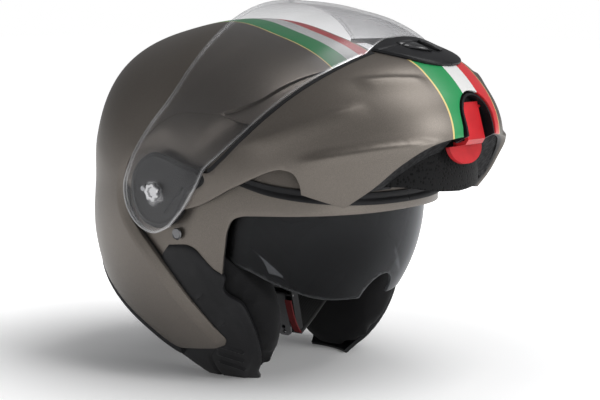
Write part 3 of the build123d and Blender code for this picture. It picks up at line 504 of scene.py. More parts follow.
def inflated(piece, cap, hold=None, voxel=5.0, pressure=4.0, frames=20):
    """Padding: the piece, remeshed by voxels, swells as cloth under pressure, each point moving no further
    than cap times its share from hold(), and gets one subdivision."""
    scene = bpy.context.scene
    remesh = piece.modifiers.new("Remesh", "REMESH")
    remesh.mode = "VOXEL"
    remesh.voxel_size = voxel / 1000
    settled(piece)
    rest = coordinates(piece.data)
    cloth = piece.modifiers.new("Cloth", "CLOTH")
    cloth.settings.use_pressure = True
    cloth.settings.uniform_pressure_force = pressure
    cloth.settings.effector_weights.gravity = 0
    cloth.point_cache.frame_start, cloth.point_cache.frame_end = 1, frames
    for number in range(1, frames + 1):
        scene.frame_set(number)
    graph = bpy.context.evaluated_depsgraph_get()
    swollen = coordinates(piece.evaluated_get(graph).data)
    piece.modifiers.clear()
    scene.frame_set(1)
    shift = swollen - rest
    length = np.linalg.norm(shift, axis=1)
    share = 1.0 if hold is None else hold((rest - AXIS) * 1000)
    shift *= (np.minimum(length, cap / 1000 * share) / np.maximum(length, 1e-9))[:, None]
    piece.data.vertices.foreach_set("co", (rest + shift).ravel())
    subdivision = piece.modifiers.new("Subdivision", "SUBSURF")
    subdivision.levels = subdivision.render_levels = 1
    return settled(piece)


def coordinates(mesh):
    flat = np.empty(len(mesh.vertices) * 3)
    mesh.vertices.foreach_get("co", flat)
    return flat.reshape(-1, 3)


# Finishes ------------------------------------------------------------------------------------------

class Value:
    """A shader socket that takes part in sums: each operator adds its Math node."""

    def __init__(self, finish, socket):
        self.finish, self.socket = finish, socket

    def math(self, operation, *others):
        node = self.finish.node("ShaderNodeMath", {"operation": operation}, dict(enumerate((self, *others))))
        return Value(self.finish, node.outputs[0])

    def __add__(self, other): return self.math("ADD", other)
    def __sub__(self, other): return self.math("SUBTRACT", other)
    def __mul__(self, other): return self.math("MULTIPLY", other)
    def __pow__(self, other): return self.math("POWER", other)
    def __neg__(self): return self.math("MULTIPLY", -1.0)
    __radd__, __rmul__ = __add__, __mul__

    def __rsub__(self, other): return (-self) + other

    def abs(self): return self.math("ABSOLUTE")

    def step(self, low, high):
        """0 below low, 1 above high, a smooth step between."""
        node = self.finish.node(
            "ShaderNodeMapRange", {"interpolation_type": "SMOOTHSTEP"},
            {"Value": self, "From Min": low, "From Max": high})
        return Value(self.finish, node.outputs["Result"])


class Finish:
    """A material under construction."""

    def __init__(self, name):
        self.material = bpy.data.materials.new(name)
        self.material.use_nodes = True
        self.tree = self.material.node_tree
        self.tree.nodes.clear()
        self.place = Value(self, self.node("ShaderNodeTexCoord").outputs["Object"])

    def node(self, kind, settings=None, values=None):
        """A node: its settings first, then the values or links of its sockets."""
        node = self.tree.nodes.new(kind)
        for key, value in (settings or {}).items():
            if key == "stops":
                ramp = node.color_ramp
                while len(ramp.elements) < len(value):
                    ramp.elements.new(1.0)
                for element, (at, colour) in zip(ramp.elements, value):
                    element.position, element.color = at, colour
            else:
                setattr(node, key, value)
        for key, value in (values or {}).items():
            socket = node.inputs[key]
            if isinstance(value, Value):
                self.tree.links.new(value.socket, socket)
            elif isinstance(value, bpy.types.NodeSocket):
                self.tree.links.new(value, socket)
            else:
                if hasattr(value, "__len__") and len(value) == 3 and socket.type == "RGBA":
                    value = (*value, 1.0)
                socket.default_value = value
        return node

    def noise(self, size, detail=2.0, roughness=0.5, place=None):
        """Cloudy noise whose cells are about a size in millimetres."""
        node = self.node("ShaderNodeTexNoise", None, {
            "Vector": place or self.place, "Scale": 1000 / size, "Detail": detail, "Roughness": roughness})
        return Value(self, node.outputs["Fac"])

    def cells(self, size):
        """The distance to the middle of the nearest cell, of about a size in millimetres."""
        node = self.node("ShaderNodeTexVoronoi", {"feature": "F1"}, {"Vector": self.place, "Scale": 1000 / size})
        return Value(self, node.outputs["Distance"])

    def axes(self, place=None):
        node = self.node("ShaderNodeSeparateXYZ", None, {0: place or self.place})
        return [Value(self, node.outputs[i]) for i in range(3)]

    def uv(self):
        node = self.node("ShaderNodeUVMap", {"uv_map": "UVMap"})
        return Value(self, node.outputs[0])

    def mixed(self, factor, first, second):
        """A colour between two colours."""
        node = self.node("ShaderNodeMix", {"data_type": "RGBA"}, {"Factor": factor})
        for key, value in (("A", first), ("B", second)):
            socket = next(s for s in node.inputs if s.name == key and s.type == "RGBA")
            if isinstance(value, Value):
                self.tree.links.new(value.socket, socket)
            else:
                socket.default_value = (*value[:3], 1.0)
        return Value(self, next(s for s in node.outputs if s.type == "RGBA"))

    def mark(self, key):
        """A share kept on the piece's points: of its inner skin, or of its cut edge."""
        node = self.node("ShaderNodeAttribute", {"attribute_name": key})
        return Value(self, node.outputs["Fac"])

    def bump(self, height, distance, strength=1.0):
        """A bump of a height from 0 to 1, over a distance in millimetres."""
        node = self.node("ShaderNodeBump", None, {
            "Height": height, "Distance": distance / 1000, "Strength": strength})
        return Value(self, node.outputs[0])

    def coat(self, **values):
        """The main shader, by socket names with _ for spaces."""
        names = {key.replace("_", " "): value for key, value in values.items()}
        return self.node("ShaderNodeBsdfPrincipled", None, names)

    def done(self, shader):
        output = self.node("ShaderNodeOutputMaterial")
        self.tree.links.new(shader.outputs[0], output.inputs["Surface"])
        return self.material

    def coated(self, **values):
        return self.done(self.coat(**values))


def shade(colour, by, lift=0.0):
    return [by * c + lift for c in colour]


def looks():
    return bpy.context.scene.helmet_looks


def sizes():
    return bpy.context.scene.helmet_sizes


FINISHES = {}


def finish(name):
    """The material of that name, made once."""
    if name not in FINISHES:
        FINISHES[name] = MAKERS[name](name)
    return FINISHES[name]


def painted(name, band, white, low):
    """Satin metallic paint with a fine flake, and three stripes with thin gold edges over the middle.
    The stripes are bands of |x|; band and white are half widths in millimetres, and they end at low,
    a height over the axis. The inner skin is black."""
    f = Finish(name)
    x, _, z = f.axes()
    paint, line = looks().paint, sizes().stripe_line
    flake = f.noise(0.35, 1.0)
    cloud = f.noise(60, 2.0)

    def past(value, limit, soft=0.12):
        return value.step(limit - soft, limit + soft)

    base = f.mixed(flake.step(0.35, 0.75), shade(paint, 0.8), shade(paint, 1.22))
    base = f.mixed(cloud * 0.25, base, shade(paint, 0.7))
    across = (x - AXIS[0]) * 1000
    colour = f.mixed(past(across, -white), looks().stripe_near, looks().stripe_middle)
    colour = f.mixed(past(across, white), colour, looks().stripe_far)
    outer = across.abs()
    colour = f.mixed(past(outer, band - line), colour, looks().stripe_edge)
    lining = f.mark("inner").step(0.3, 0.7)
    over = past((z - AXIS[2]) * 1000, low, 0.3)
    stripe = (1 - past(outer, band)) * over * (1 - lining)
    base = f.mixed(stripe, base, colour)
    base = f.mixed(lining, base, looks().plastic)
    return f.coated(
        Base_Color=base, Metallic=(1 - stripe) * (1 - lining) * 0.8, Roughness=0.40 + 0.10 * cloud - 0.06 * stripe,
        Normal=f.bump(flake, 0.015, 0.25), Coat_Weight=0.15, Coat_Roughness=0.3)


def moulded(name, colour, roughness, grain=0.7, depth=0.005, **more):
    """Moulded plastic: an even colour, a fine grain, and faint scuffs in the gloss."""
    f = Finish(name)
    fine = f.noise(grain, 2.0, 0.5)
    scuff = f.noise(25, 4.0, 0.65)
    base = f.mixed(scuff.step(0.35, 0.75), colour, shade(colour, 1.35, 0.003))
    return f.coated(
        Base_Color=base, Roughness=roughness + (scuff - 0.5) * 0.18, Normal=f.bump(fine, depth, 0.4), **more)


def metal(name, colour, roughness):
    """Steel with a fine brushed grain and a few darker specks."""
    f = Finish(name)
    stretch = f.node("ShaderNodeMapping", None, {"Vector": f.place, "Scale": (1, 12, 1)})
    grain = f.noise(2.0, 3.0, 0.7, Value(f, stretch.outputs[0]))
    base = f.mixed(grain.step(0.3, 0.8), shade(colour, 0.75), colour)
    return f.coated(
        Base_Color=base, Metallic=1.0, Roughness=roughness + (grain - 0.5) * 0.2, Normal=f.bump(grain, 0.01, 0.4))


def woven(name, colour, pitch, strength=0.5, sheen=0.06):
    """Knitted lining: rows of small loops from two crossed waves, on Object coordinates."""
    f = Finish(name)
    x, y, z = f.axes()
    turn = 2 * math.pi * 1000 / pitch
    warp = ((y + x * 0.6) * turn).math("SINE")
    weft = ((z + x * 0.6) * turn).math("SINE")
    loops = (warp * weft) * 0.5 + 0.5
    fuzz = f.noise(0.8, 3.0, 0.7)
    cloud = f.noise(30, 3.0)
    base = f.mixed(loops * 0.7 + fuzz * 0.3, shade(colour, 0.55), shade(colour, 1.5))
    base = f.mixed(cloud.step(0.3, 0.8) * 0.35, base, shade(colour, 1.9, 0.004))
    return f.coated(
        Base_Color=base, Roughness=0.85 + 0.1 * fuzz, Specular_IOR_Level=0.15, Sheen_Weight=sheen,
        Sheen_Roughness=0.5, Normal=f.bump(loops * 0.7 + fuzz * 0.5, 0.25, strength))


def webbed(name, colour):
    """Flat woven webbing on its UV map: ribs along it, crossed by the weft."""
    f = Finish(name)
    rib_count, weft_pitch = 10, 1.4
    u, v, _ = f.axes(f.uv())
    ribs = (v * (2 * math.pi * rib_count)).math("SINE") * 0.5 + 0.5
    weft = (u * (2 * math.pi * 1000 / weft_pitch)).math("SINE") * 0.5 + 0.5
    weave = ribs * 0.6 + weft * 0.4
    base = f.mixed(weave, shade(colour, 0.5), shade(colour, 1.4))
    return f.coated(
        Base_Color=base, Roughness=0.7 + 0.15 * weave, Sheen_Weight=0.2, Normal=f.bump(weave, 0.25, 0.7))


def beaded(name, colour):
    """Foam of pressed beads: cells with darker joints."""
    f = Finish(name)
    cell = f.cells(3.2)
    base = f.mixed(cell.step(0.25, 0.75), shade(colour, 1.3), shade(colour, 0.5))
    return f.coated(
        Base_Color=base, Roughness=0.75 + 0.15 * cell, Specular_IOR_Level=0.2, Normal=f.bump(1 - cell, 0.4, 0.5))


def meshed(name, colour):
    """Open mesh cloth: round holes in a hexagonal grid, darker inside."""
    f = Finish(name)
    cell = f.cells(2.4)
    hole = 1 - cell.step(0.28, 0.45)
    base = f.mixed(hole, shade(colour, 1.3), shade(colour, 0.25))
    return f.coated(
        Base_Color=base, Roughness=0.8 + 0.1 * hole, Specular_IOR_Level=0.15, Sheen_Weight=0.05,
        Normal=f.bump(1 - hole, 0.4, 0.6))


def lens(name, through, gloss, haze, rim):
    """A clear sheet: what is behind it through a tint, under a glossy face that grows with the slant of
    sight, by a haze everywhere and by rim at its cut edge."""
    f = Finish(name)
    wear = f.noise(40, 4.0, 0.6)
    clear = f.node("ShaderNodeBsdfTransparent", None, {"Color": (*through, 1.0)})
    shine = f.coat(Base_Color=(*gloss, 1.0), Metallic=1.0, Roughness=0.28 + 0.1 * wear)
    slant = Value(f, f.node("ShaderNodeLayerWeight", None, {"Blend": 0.5}).outputs["Facing"])
    factor = slant ** 3.5 * 0.6 + f.mark("edge") * rim + haze
    mixed = f.node("ShaderNodeMixShader", None, {0: factor, 1: clear.outputs[0], 2: shine.outputs[0]})
    return f.done(mixed)


MAKERS = {
    "paint_shell": lambda n: painted(n, sizes().shell_stripe, sizes().shell_stripe * sizes().stripe_share, 8.0),
    "paint_chin": lambda n: painted(n, sizes().chin_stripe, sizes().chin_stripe * sizes().stripe_share, -200.0),
    "black_plastic": lambda n: moulded(n, looks().plastic, 0.42, Specular_IOR_Level=0.2),
    "base_plastic": lambda n: moulded(n, shade(looks().plastic, 0.5), 0.4, 4.0, 0.002, Specular_IOR_Level=0.2),
    "gloss_black": lambda n: moulded(n, looks().plastic, 0.3, 2.0, 0.002, Coat_Weight=0.3, Coat_Roughness=0.2),
    "rubber": lambda n: moulded(n, looks().rubber, 0.68, 0.4, 0.02, Specular_IOR_Level=0.25),
    "red_plastic": lambda n: moulded(n, looks().lever, 0.38, 0.8, 0.01),
    "foam": lambda n: beaded(n, looks().foam),
    "cloth": lambda n: woven(n, looks().cloth, 1.1),
    "cloth_fine": lambda n: woven(n, looks().cloth, 0.8, 0.35, 0.04),
    "mesh": lambda n: meshed(n, shade(looks().cloth, 0.6)),
    "webbing": lambda n: webbed(n, looks().cloth),
    "red_ribbon": lambda n: moulded(n, shade(looks().lever, 0.3), 0.8, 0.9, 0.05),
    "clear": lambda n: lens(n, (0.9, 0.9, 0.905), (0.8, 0.8, 0.81), 0.032, 0.3),
    "smoke": lambda n: lens(n, (0.2, 0.203, 0.21), (0.5, 0.51, 0.53), 0.03, 0.1),
    "steel": lambda n: metal(n, (0.62, 0.62, 0.63), 0.3),
    "dark_steel": lambda n: metal(n, (0.2, 0.2, 0.205), 0.38),
}

# Outlines of the side view, in shares of the crown's radius --------------------------------------------

RIM = ((-1.15, 1.09), (-0.96, 0.905), (-0.78, 0.748), (-0.642, 0.626), (-0.569, 0.545), (-0.48, 0.5),
       (-0.366, 0.463))
RIM_REAR = ((-0.366, 0.463), (-0.24, 0.468), (-0.114, 0.46), (0.02, 0.385), (0.14, 0.28), (0.245, 0.15), (0.297, 0.0),
            (0.276, -0.114), (0.203, -0.22), (0.073, -0.358), (-0.089, -0.553), (-0.22, -0.74), (-0.293, -0.862),
            (-0.313, -0.902), (-0.29, -0.938))
FACET = ((-0.366, 0.463), (-0.503, 0.424), (-0.7, 0.37), (-0.95, 0.31))
WEDGE_END = ((-1.4, 0.9),)
BOTTOM = ((-0.29, -0.938), (-0.195, -0.951), (-0.06, -0.967), (0.081, -0.976), (0.18, -0.93), (0.268, -0.87),
          (0.455, -0.754), (0.675, -0.595), (0.894, -0.431), (1.12, -0.29), (1.35, -0.15), (1.7, 0.06))
AROUND = ((1.7, 1.7), (-1.15, 1.7))
EYEPORT = ((-1.7, -0.114), (-1.2, -0.114), (-0.8, -0.114), (-0.6, -0.114), (-0.54, -0.118), (-0.488, -0.14),
           (-0.455, -0.195), (-0.427, -0.309), (-0.4, -0.423), (-0.36, -0.6), (-0.36, -0.894), (-0.34, -1.4))
EYEPORT_END = ((-1.7, -1.4),)
COVER = ((-0.041, -0.317), (-0.187, -0.309), (-0.228, -0.325), (-0.341, -0.439), (-0.398, -0.48),
         (-0.382, -0.569), (-0.472, -0.65), (-0.488, -0.732), (-0.48, -0.878), (-0.407, -1.049),
         (-0.341, -1.122), (-0.244, -1.25), (-0.033, -1.25), (0.065, -1.114), (0.146, -1.033))
COVER_REAR = ((0.146, -1.033), (0.081, -0.98), (-0.17, -0.945), (-0.25, -0.92), (-0.275, -0.88), (-0.25, -0.84),
              (-0.2, -0.74), (-0.08, -0.553), (0.02, -0.4), (-0.041, -0.317))
COVER_FOLD = ((-0.25, -0.45), (-0.33, -0.6), (-0.42, -0.72), (-0.43, -0.86), (-0.38, -1.0), (-0.29, -1.1),
              (-0.2, -1.2))
COVER_SEAM = ((-0.2, -0.955), (-0.13, -1.02), (-0.1, -1.1), (-0.06, -1.25))
CHIN_TOP = ((-0.08, 0.15), (-0.3, 0.15), (-0.382, 0.153), (-0.46, 0.215), (-0.561, 0.317), (-0.846, 0.618),
            (-0.984, 0.748), (-1.3, 1.07))
CHIN_NOSE = ((-1.9, 1.07),)
CHIN_LOW = ((-1.9, 0.44), (-1.626, 0.366), (-1.512, 0.309), (-1.407, 0.211), (-1.276, 0.073), (-1.138, -0.041))
CHIN_NOTCH = ((-1.138, -0.041), (-0.943, 0.033))
CHIN_ARM = ((-0.943, 0.033), (-0.938, 0.098), (-0.911, 0.15), (-0.846, 0.171), (-0.61, 0.081), (-0.545, 0.051),
            (-0.341, -0.053), (-0.08, -0.12))
VISOR_REAR = ((-0.12, -0.2), (0.0, -0.243), (0.12, -0.21), (0.21, -0.12), (0.244, 0.0), (0.18, 0.19),
              (0.055, 0.39), (-0.06, 0.56), (-0.135, 0.78), (-0.178, 1.0), (-0.187, 1.4))
VISOR_FRONT = ((-1.3, 1.073), (-0.984, 0.751), (-0.846, 0.621), (-0.561, 0.32), (-0.45, 0.215), (-0.382, 0.153),
               (-0.345, 0.08), (-0.27, -0.04), (-0.12, -0.2))
SEAL = ((-0.516, 0.065), (-0.675, 0.008), (-0.854, -0.033), (-1.06, -0.065), (-1.3, -0.085))
SEAL_TOP = ((-1.3, -0.015), (-1.06, 0.005), (-0.85, 0.036), (-0.675, 0.07), (-0.545, 0.105))
SUN_EDGE = ((0.0, -0.19), (-0.31, -0.29), (-0.39, -0.41), (-0.5, -0.47), (-0.59, -0.535), (-0.67, -0.59),
            (-0.77, -0.65), (-0.86, -0.665), (-1.2, -0.665))
SUN_TOP = ((-1.2, 0.07), (-0.6, 0.08), (-0.3, 0.06), (0.0, 0.0))
CROWN_LOW = ((-1.3, 0.03), (-0.35, -0.1), (0.3, -0.42), (0.8, -0.24), (1.4, 0.1), (1.4, -1.6), (-1.3, -1.6))
ROLL = ((0.3, -0.84), (0.455, -0.75), (0.675, -0.57), (0.894, -0.415), (1.4, -0.1), (1.4, 0.06),
        (0.86, -0.25), (0.64, -0.42), (0.43, -0.6), (0.29, -0.7))
CHEEK = ((-0.163, -0.309), (-0.358, -0.374), (-0.472, -0.537), (-0.545, -0.756), (-0.512, -0.959),
         (-0.423, -1.089), (-0.293, -1.16), (-0.098, -1.175), (0.098, -1.081), (0.211, -0.927),
         (0.228, -0.715), (0.163, -0.504), (0.016, -0.358))
CURTAIN_ZONE = ((-1.13, 0.01), (-1.22, 0.06), (-1.32, 0.062), (-1.42, 0.03), (-1.6, -0.02), (-1.6, 0.35),
                (-1.41, 0.3), (-1.3, 0.2), (-1.2, 0.14))
VENT_LOW = ((-0.98, 0.835), (-1.049, 0.82), (-1.236, 0.777), (-1.374, 0.732), (-1.6, 0.66))
VENT_TOP = ((-1.6, 1.3), (-0.98, 1.3))
FLAP = ((-1.08, 0.845), (-1.26, 0.8), (-1.42, 0.74), (-1.5, 0.86), (-1.2, 0.96))
BASE = ((0.14, 0.17), (0.02, 0.23), (-0.08, 0.215), (-0.22, 0.17), (-0.32, 0.15), (-0.37, 0.1),
        (-0.26, 0.0), (-0.14, -0.17), (0.0, -0.215), (0.12, -0.18), (0.2, -0.06), (0.2, 0.08), (0.14, 0.17))
RAIL = ((8.9, -126.1), (43.3, -105.8))  # the sun visor slider's rail, in millimetres
CREASES = (  # on the chin bar, in millimetres about the axis, with their heights
    (((-73, -135, 81), (-48.5, -160, 83), (-30, -172, 81.5)), 1.0),
    (((-118.5, -66, 33), (-101, -113.5, 52), (-73, -152, 65.5)), 1.6),
    (((-108, -110, 25), (-92, -141, 32), (-66, -172, 37.5), (-34, -192, 39)), 1.8),
)

# Turned profiles, as (distance from the middle, radius) in millimetres
SCREW_START = VISOR.half_width * CAP
AXLE = 0.01  # the radius that stands for none
HUB = ((117, 5.2), (117, 25), (118, 26), (121.6, 26), (122.6, 25), (122.6, 5.2), (117, 5.2))
PIN = ((122.9, AXLE), (122.9, 2.2), (124.2, 2.2), (124.6, 1.7), (124.6, AXLE))
SCREW = ((115, AXLE), (115, 5), (SCREW_START + 0.3, 5), (SCREW_START + 0.4, 6.2), (SCREW_START + 1.6, 6.5),
         (SCREW_START + 2.4, 5.6), (SCREW_START + 2.4, 3.6), (SCREW_START + 1.2, 3.0), (SCREW_START + 1.2, AXLE))
STRIKER = ((112.3, AXLE), (112.3, 2.1), (117.8, 2.1), (118, 4.0), (118.9, 4.3), (119.6, 3.9), (119.2, 3.1),
           (119.2, AXLE))
PIN_PLACE = (13.2, 1.4)
STRIKER_PLACE = (-0.122, -0.244)  # in shares of the crown's radius

# Straps in the front view, as shares of their anchor's distance from the middle and the crown's radius
ANCHOR = 101.4
STRAP_LEFT = ((1.0, -0.325), (1.0, -0.36), (1.0, -0.4), (0.992, -0.44), (0.955, -0.485), (0.88, -0.515),
              (0.72, -0.555), (0.5, -0.65), (0.27, -0.78), (0.09, -0.89), (-0.045, -0.96))
STRAP_RIGHT = ((1.0, -0.325), (1.0, -0.36), (1.0, -0.4), (0.992, -0.44), (0.955, -0.48), (0.88, -0.5),
               (0.72, -0.51), (0.5, -0.535), (0.3, -0.585), (0.137, -0.666))

# A cheek cushion's rings: their size as a share of the outline, and their distance from the middle
CHEEK_RINGS = ((0.0, 50), (0.25, 50.3), (0.45, 51), (0.62, 52.2), (0.76, 54), (0.87, 57), (0.94, 61), (0.985, 66),
               (1.0, 73), (1.0, 80), (1.0, 87), (1.0, 94), (1.0, 101), (1.0, 107), (1.0, 111), (0.97, 113),
               (0.6, 113.5), (0.0, 113.5))

SIDES = ((1, "left"), (-1, "right"))
WALL = 4.0  # painted shells
COARSE, FINE = 3.0, 1.3  # spacing of the triangles
CHIN_INSET = 3.2  # the gasket's room along the chin bar's top edge
SOFT_EDGE = 0.4  # radius on rubber edges


def ring_of(points):
    """A closed smooth outline through points whose last is the first again."""
    p = np.asarray(points, float)
    line = smooth(np.vstack([p[-2], p, p[1]]))
    start = np.abs(line - p[0]).sum(1).argmin()
    stop = len(line) - 1 - np.abs(line[::-1] - p[-1]).sum(1).argmin()
    return line[start:stop]


def closed_on(form, *lines):
    return form.plane(np.vstack(lines))


def looped(form, shares, step=1.5, by=(0, 0)):
    """A straight-sided outline given in shares of the crown's radius, moved by a distance."""
    return form.plane(straight(crown([*shares, shares[0]]) + by, step)[:-1])


def over_middle(outline, form, angles):
    """Carries an open outline past the middle of the head, at angles."""
    return np.vstack([outline, form.plane_across(np.zeros(len(angles)), angles) * 1.05])


def tongue_line(form, by):
    """The raised middle of the chin bar's top edge on a form, drawn in by a distance: a hump across
    the head, square to a ray from the axis, as an outline of the side plane."""
    ray = 40.0
    wide, rise, root = 44.0 - by, 10.6 - by, -5.83
    hump = smooth([
        (0, root + rise), (0.4 * wide, root + 0.85 * rise), (0.75 * wide, root + 0.42 * rise), (wide, root)])
    ends = straight([(wide, root), (wide, 3 * root), (-0.5, 3 * root)])
    x, up = np.vstack([hump, ends[1:]]).T
    share = 1 - np.clip(np.abs(x) / form.half_width, 0, 1) ** form.power
    level = form.reach(np.full(len(x), ray)) * share ** (1 / form.power)
    angle = ray + np.degrees(np.arcsin(up / level))
    return over_middle(form.plane_across(np.maximum(x, 0), angle), form, angle[[-1, 0]])


def top_strip(form, by, deep):
    """A strip under the chin bar's top edge, from a distance behind the edge down to another."""
    line = curve(CHIN_TOP)
    return form.plane(np.vstack([line - by / math.sqrt(2), moved(line, -deep)[::-1]]))


def swell(distance, width):
    """A quarter round: 0 at 0, 1 from a width on."""
    t = np.clip(distance / width, 0, 1)
    return np.sqrt(t * (2 - t))


def paint_over(node_names, name):
    for node_name in node_names:
        mesh = frame["nodes"][node_name].data
        mesh.materials.clear()
        mesh.materials.append(finish(name))


# Operators -----------------------------------------------------------------------------------------

def measure(name, description, default, **more):
    return FloatProperty(name=name, description=description, default=default, **more)


def tint(name, description, default):
    return FloatVectorProperty(name=name, description=description, subtype="COLOR", default=default)


class HelmetSizes(bpy.types.PropertyGroup):
    shell_stripe: measure("Shell stripe", "Half width of the stripes on the shell, mm", 34.0)
    chin_stripe: measure("Chin stripe", "Half width of the stripes on the chin bar, mm", 30.5)
    stripe_share: measure("Middle stripe", "Share of the middle stripe", 0.3, subtype="FACTOR", min=0.1, max=0.8)
    stripe_line: measure("Edge line", "Width of the stripes' edge line, mm", 1.3)
    wedge_depth: measure("Wedge", "Depth of the wedge under the crown's edge, mm", 3.0)
    chamfer: measure("Chamfer", "Depth of the crown's lower edge chamfer, mm", 2.6)
    crease_rise: measure("Creases", "Height of the chin bar's creases against their own", 1.5)
    edge: measure("Edge radius", "Radius on the shells' edges, mm", 0.9)
    pad_swell: measure("Pad swell", "How far the padding may swell, mm", 4.0)


class HelmetLooks(bpy.types.PropertyGroup):
    paint: tint("Paint", "Colour of the painted shells", (0.15, 0.132, 0.115))
    stripe_near: tint("Right stripe", "Stripe on the wearer's right", (0.003, 0.2, 0.055))
    stripe_middle: tint("Middle stripe", "Middle stripe", (0.56, 0.56, 0.55))
    stripe_far: tint("Left stripe", "Stripe on the wearer's left", (0.45, 0.014, 0.018))
    stripe_edge: tint("Edge lines", "Thin lines beside the stripes", (0.58, 0.44, 0.16))
    plastic: tint("Plastic", "Black moulded parts", (0.0075, 0.0075, 0.0085))
    rubber: tint("Rubber", "Seals and edge trim", (0.009, 0.009, 0.01))
    lever: tint("Lever", "Release lever and pull ribbon", (0.36, 0.006, 0.01))
    foam: tint("Foam", "Bead foam", (0.011, 0.011, 0.012))
    cloth: tint("Lining", "Lining, pads and straps", (0.006, 0.006, 0.0065))


class HELMET_OT_shell(bpy.types.Operator):
    """Painted shell: rear and crown, the set-in front zone with the eye-port, and the edge trims"""
    bl_idname = "helmet.shell"
    bl_label = "Painted shell"

    def execute(self, context):
        rim = np.vstack([straight(crown(RIM[:3]))[:-1], curve(RIM[2:])])
        rear, bottom, facet = curve(RIM_REAR), curve(BOTTOM), curve(FACET)
        self.rear(rim, rear, bottom, facet)
        self.front(rim, rear, bottom, facet)
        self.trim(bottom)
        self.seal()
        return {"FINISHED"}

    def rear(self, rim, rear, bottom, facet):
        """The rear and crown. The lower edge has a chamfer that runs out under the visor. The wedge over
        the visor is sunk under its upper line and comes up to the surface at its lower."""
        chamfer_width, chamfer_fade = 6.0, (0.3, 0.6)
        step_wall, step_reach = 3.0, (4, 12)
        rail_cut, rail_reach = 2.4, (5, 14)
        bend, clear = 1.3, 0.1
        outline = closed_on(SHELL, rim[:-1], rear[:-1], bottom, crown(AROUND))
        wedge = closed_on(SHELL, rim, facet[1:], crown(WEDGE_END))
        step, whole = SHELL.plane(rear), SHELL.plane(np.vstack([rim[:-1], rear]))
        upper, lower = SHELL.plane(rim), SHELL.plane(facet)
        rail = SHELL.plane(straight(RAIL, COARSE))
        rings = [moved(step, -d / SHELL.scale) for d in (1.2, 3.4, chamfer_width, 7.2)]
        rings += [moved(upper, d / SHELL.scale) for d in (0, bend, -bend)]

        def outer(points):
            off, along = apart(points, step, SHELL)
            return sizes().chamfer * np.clip(1 - off / chamfer_width, 0, 1) * ease(along, *chamfer_fade)

        def inner(points):
            """The wall thickens towards the step over the front zone, and thins over the slider's rail."""
            near = 1 - ease(apart(points, whole, SHELL)[0], *step_reach)
            thin = 1 - ease(apart(points, rail, SHELL)[0], *rail_reach)
            return WALL + step_wall * near - rail_cut * thin

        def sunk(points, where):
            depth = ease(apart(points, upper, SHELL)[0], 0, bend) * (1 - between(points, upper, lower))
            goal = SHELL.surface(points, sizes().wedge_depth * depth + clear)
            return np.where(inside(points, wedge)[:, None], goal, where)

        skin("shell_rear", SHELL, [outline, wedge], lambda a, b: a | b, outer, inner, COARSE, rings, shape=sunk,
             edge=sizes().edge)

    def front(self, rim, rear, bottom, facet):
        """The set-in front zone with the eye-port. Over the chin bar's arms it rises to meet the rear."""
        hub_radius, arm_gap, below_wedge, under_rear = 29, 2, 0.05, 3.0
        front_rise, rear_fall, meet = (38, 50), (165, 185), 0.35
        edge = FRONT.plane(np.vstack([facet[::-1], rear[1:]]))
        turn = np.radians(np.arange(-60, 91, 6))
        hub = hub_radius * circle(turn)
        arm = FRONT.plane(np.vstack([hub, curve(CHIN_TOP)[4:] + [0, arm_gap]]))
        low_arm = np.vstack([arm, FRONT.plane(crown([*WEDGE_END, (-1.4, -1.4), (0.4, -1.4)]))])
        cut = closed_on(FRONT, rim, (facet + [0, below_wedge])[1:], crown(WEDGE_END))
        eye = closed_on(FRONT, curve(EYEPORT), crown(EYEPORT_END))
        back = closed_on(FRONT, moved(np.vstack([rim[:-1], rear]), -under_rear), bottom, crown(AROUND))
        below = closed_on(
            FRONT, crown([(-0.6, -0.9), (-0.25, -0.9)]), bottom[np.argmax(bottom[:, 0] > -0.1 * CROWN):],
            crown([(1.7, -1.7), (-0.6, -1.7)]))

        def raised(points, where):
            angle = np.degrees(np.arctan2(points[:, 1], -points[:, 0]))
            rise = (1 - ease(between(points, edge, arm), 0.0, 1.0)) * ease(angle, *front_rise)
            rise *= (1 - ease(angle, *rear_fall)) * (angle > 0)
            rise *= ~inside(points, low_arm) & ~inside(points, cut)
            return where + (SHELL.surface(points, meet) - where) * rise[:, None]

        skin("shell_front", FRONT, [eye, back, below], lambda a, b, c: ~a & ~b & ~c, 0.0, WALL, COARSE,
             [FRONT.plane(facet)], shape=raised, edge=sizes().edge)

    def trim(self, bottom):
        """The rubber round the rear of the bottom edge, a bead that hangs under the shell's edge. On the
        left it leaves the way of the slider's knob free."""
        start, top, low, middle = 0.055 * CROWN, [0.15, -0.3], [1.6, -6.5], [0.9, -3.3]
        half_height, droop, proud, depth, spacing, knob_room = 3.3, 0.9, 0.8, 7.0, 1.6, 7.0
        line = bottom[np.argmax(bottom[:, 0] > start):]
        zone = closed_on(SHELL, line + top, (line + low)[::-1])
        mid = SHELL.plane(line + middle)
        first, last = np.array(RAIL)
        run = last - first
        across = np.array([-run[1], run[0]]) / np.linalg.norm(run) * knob_room
        notch = closed_on(SHELL, straight([first + across, last + across, last - across, first - across]))

        def bead(points):
            return droop * np.clip(apart(points, mid, SHELL)[0] / half_height, 0, 1) ** 2 - proud

        left = skin("rear_trim", SHELL, [zone, notch], lambda a, b: a & ~b, bead, depth, spacing, sides=(1,),
                    edge=SOFT_EDGE)
        right = skin("rear_trim_right", SHELL, [zone], lambda a: a, bead, depth, spacing, sides=(-1,), edge=SOFT_EDGE)
        polished(welded(joined(left, right)))

    def seal(self):
        """The rubber over the eye-port: two lips with a groove between them."""
        proud, groove_depth, groove_width, root, spacing = 2.4, 1.3, 1.3, -0.3, 1.4
        strip = closed_on(FRONT, curve(SEAL), curve(SEAL_TOP))
        groove = FRONT.plane(curve((np.asarray(SEAL) + np.asarray(SEAL_TOP)[::-1]) / 2))

        def lips(points):
            return groove_depth * bell(apart(points, groove, FRONT)[0], groove_width) - proud

        skin("eyeport_lip", FRONT, [strip], lambda a: a, lips, root, spacing, [groove], edge=SOFT_EDGE)


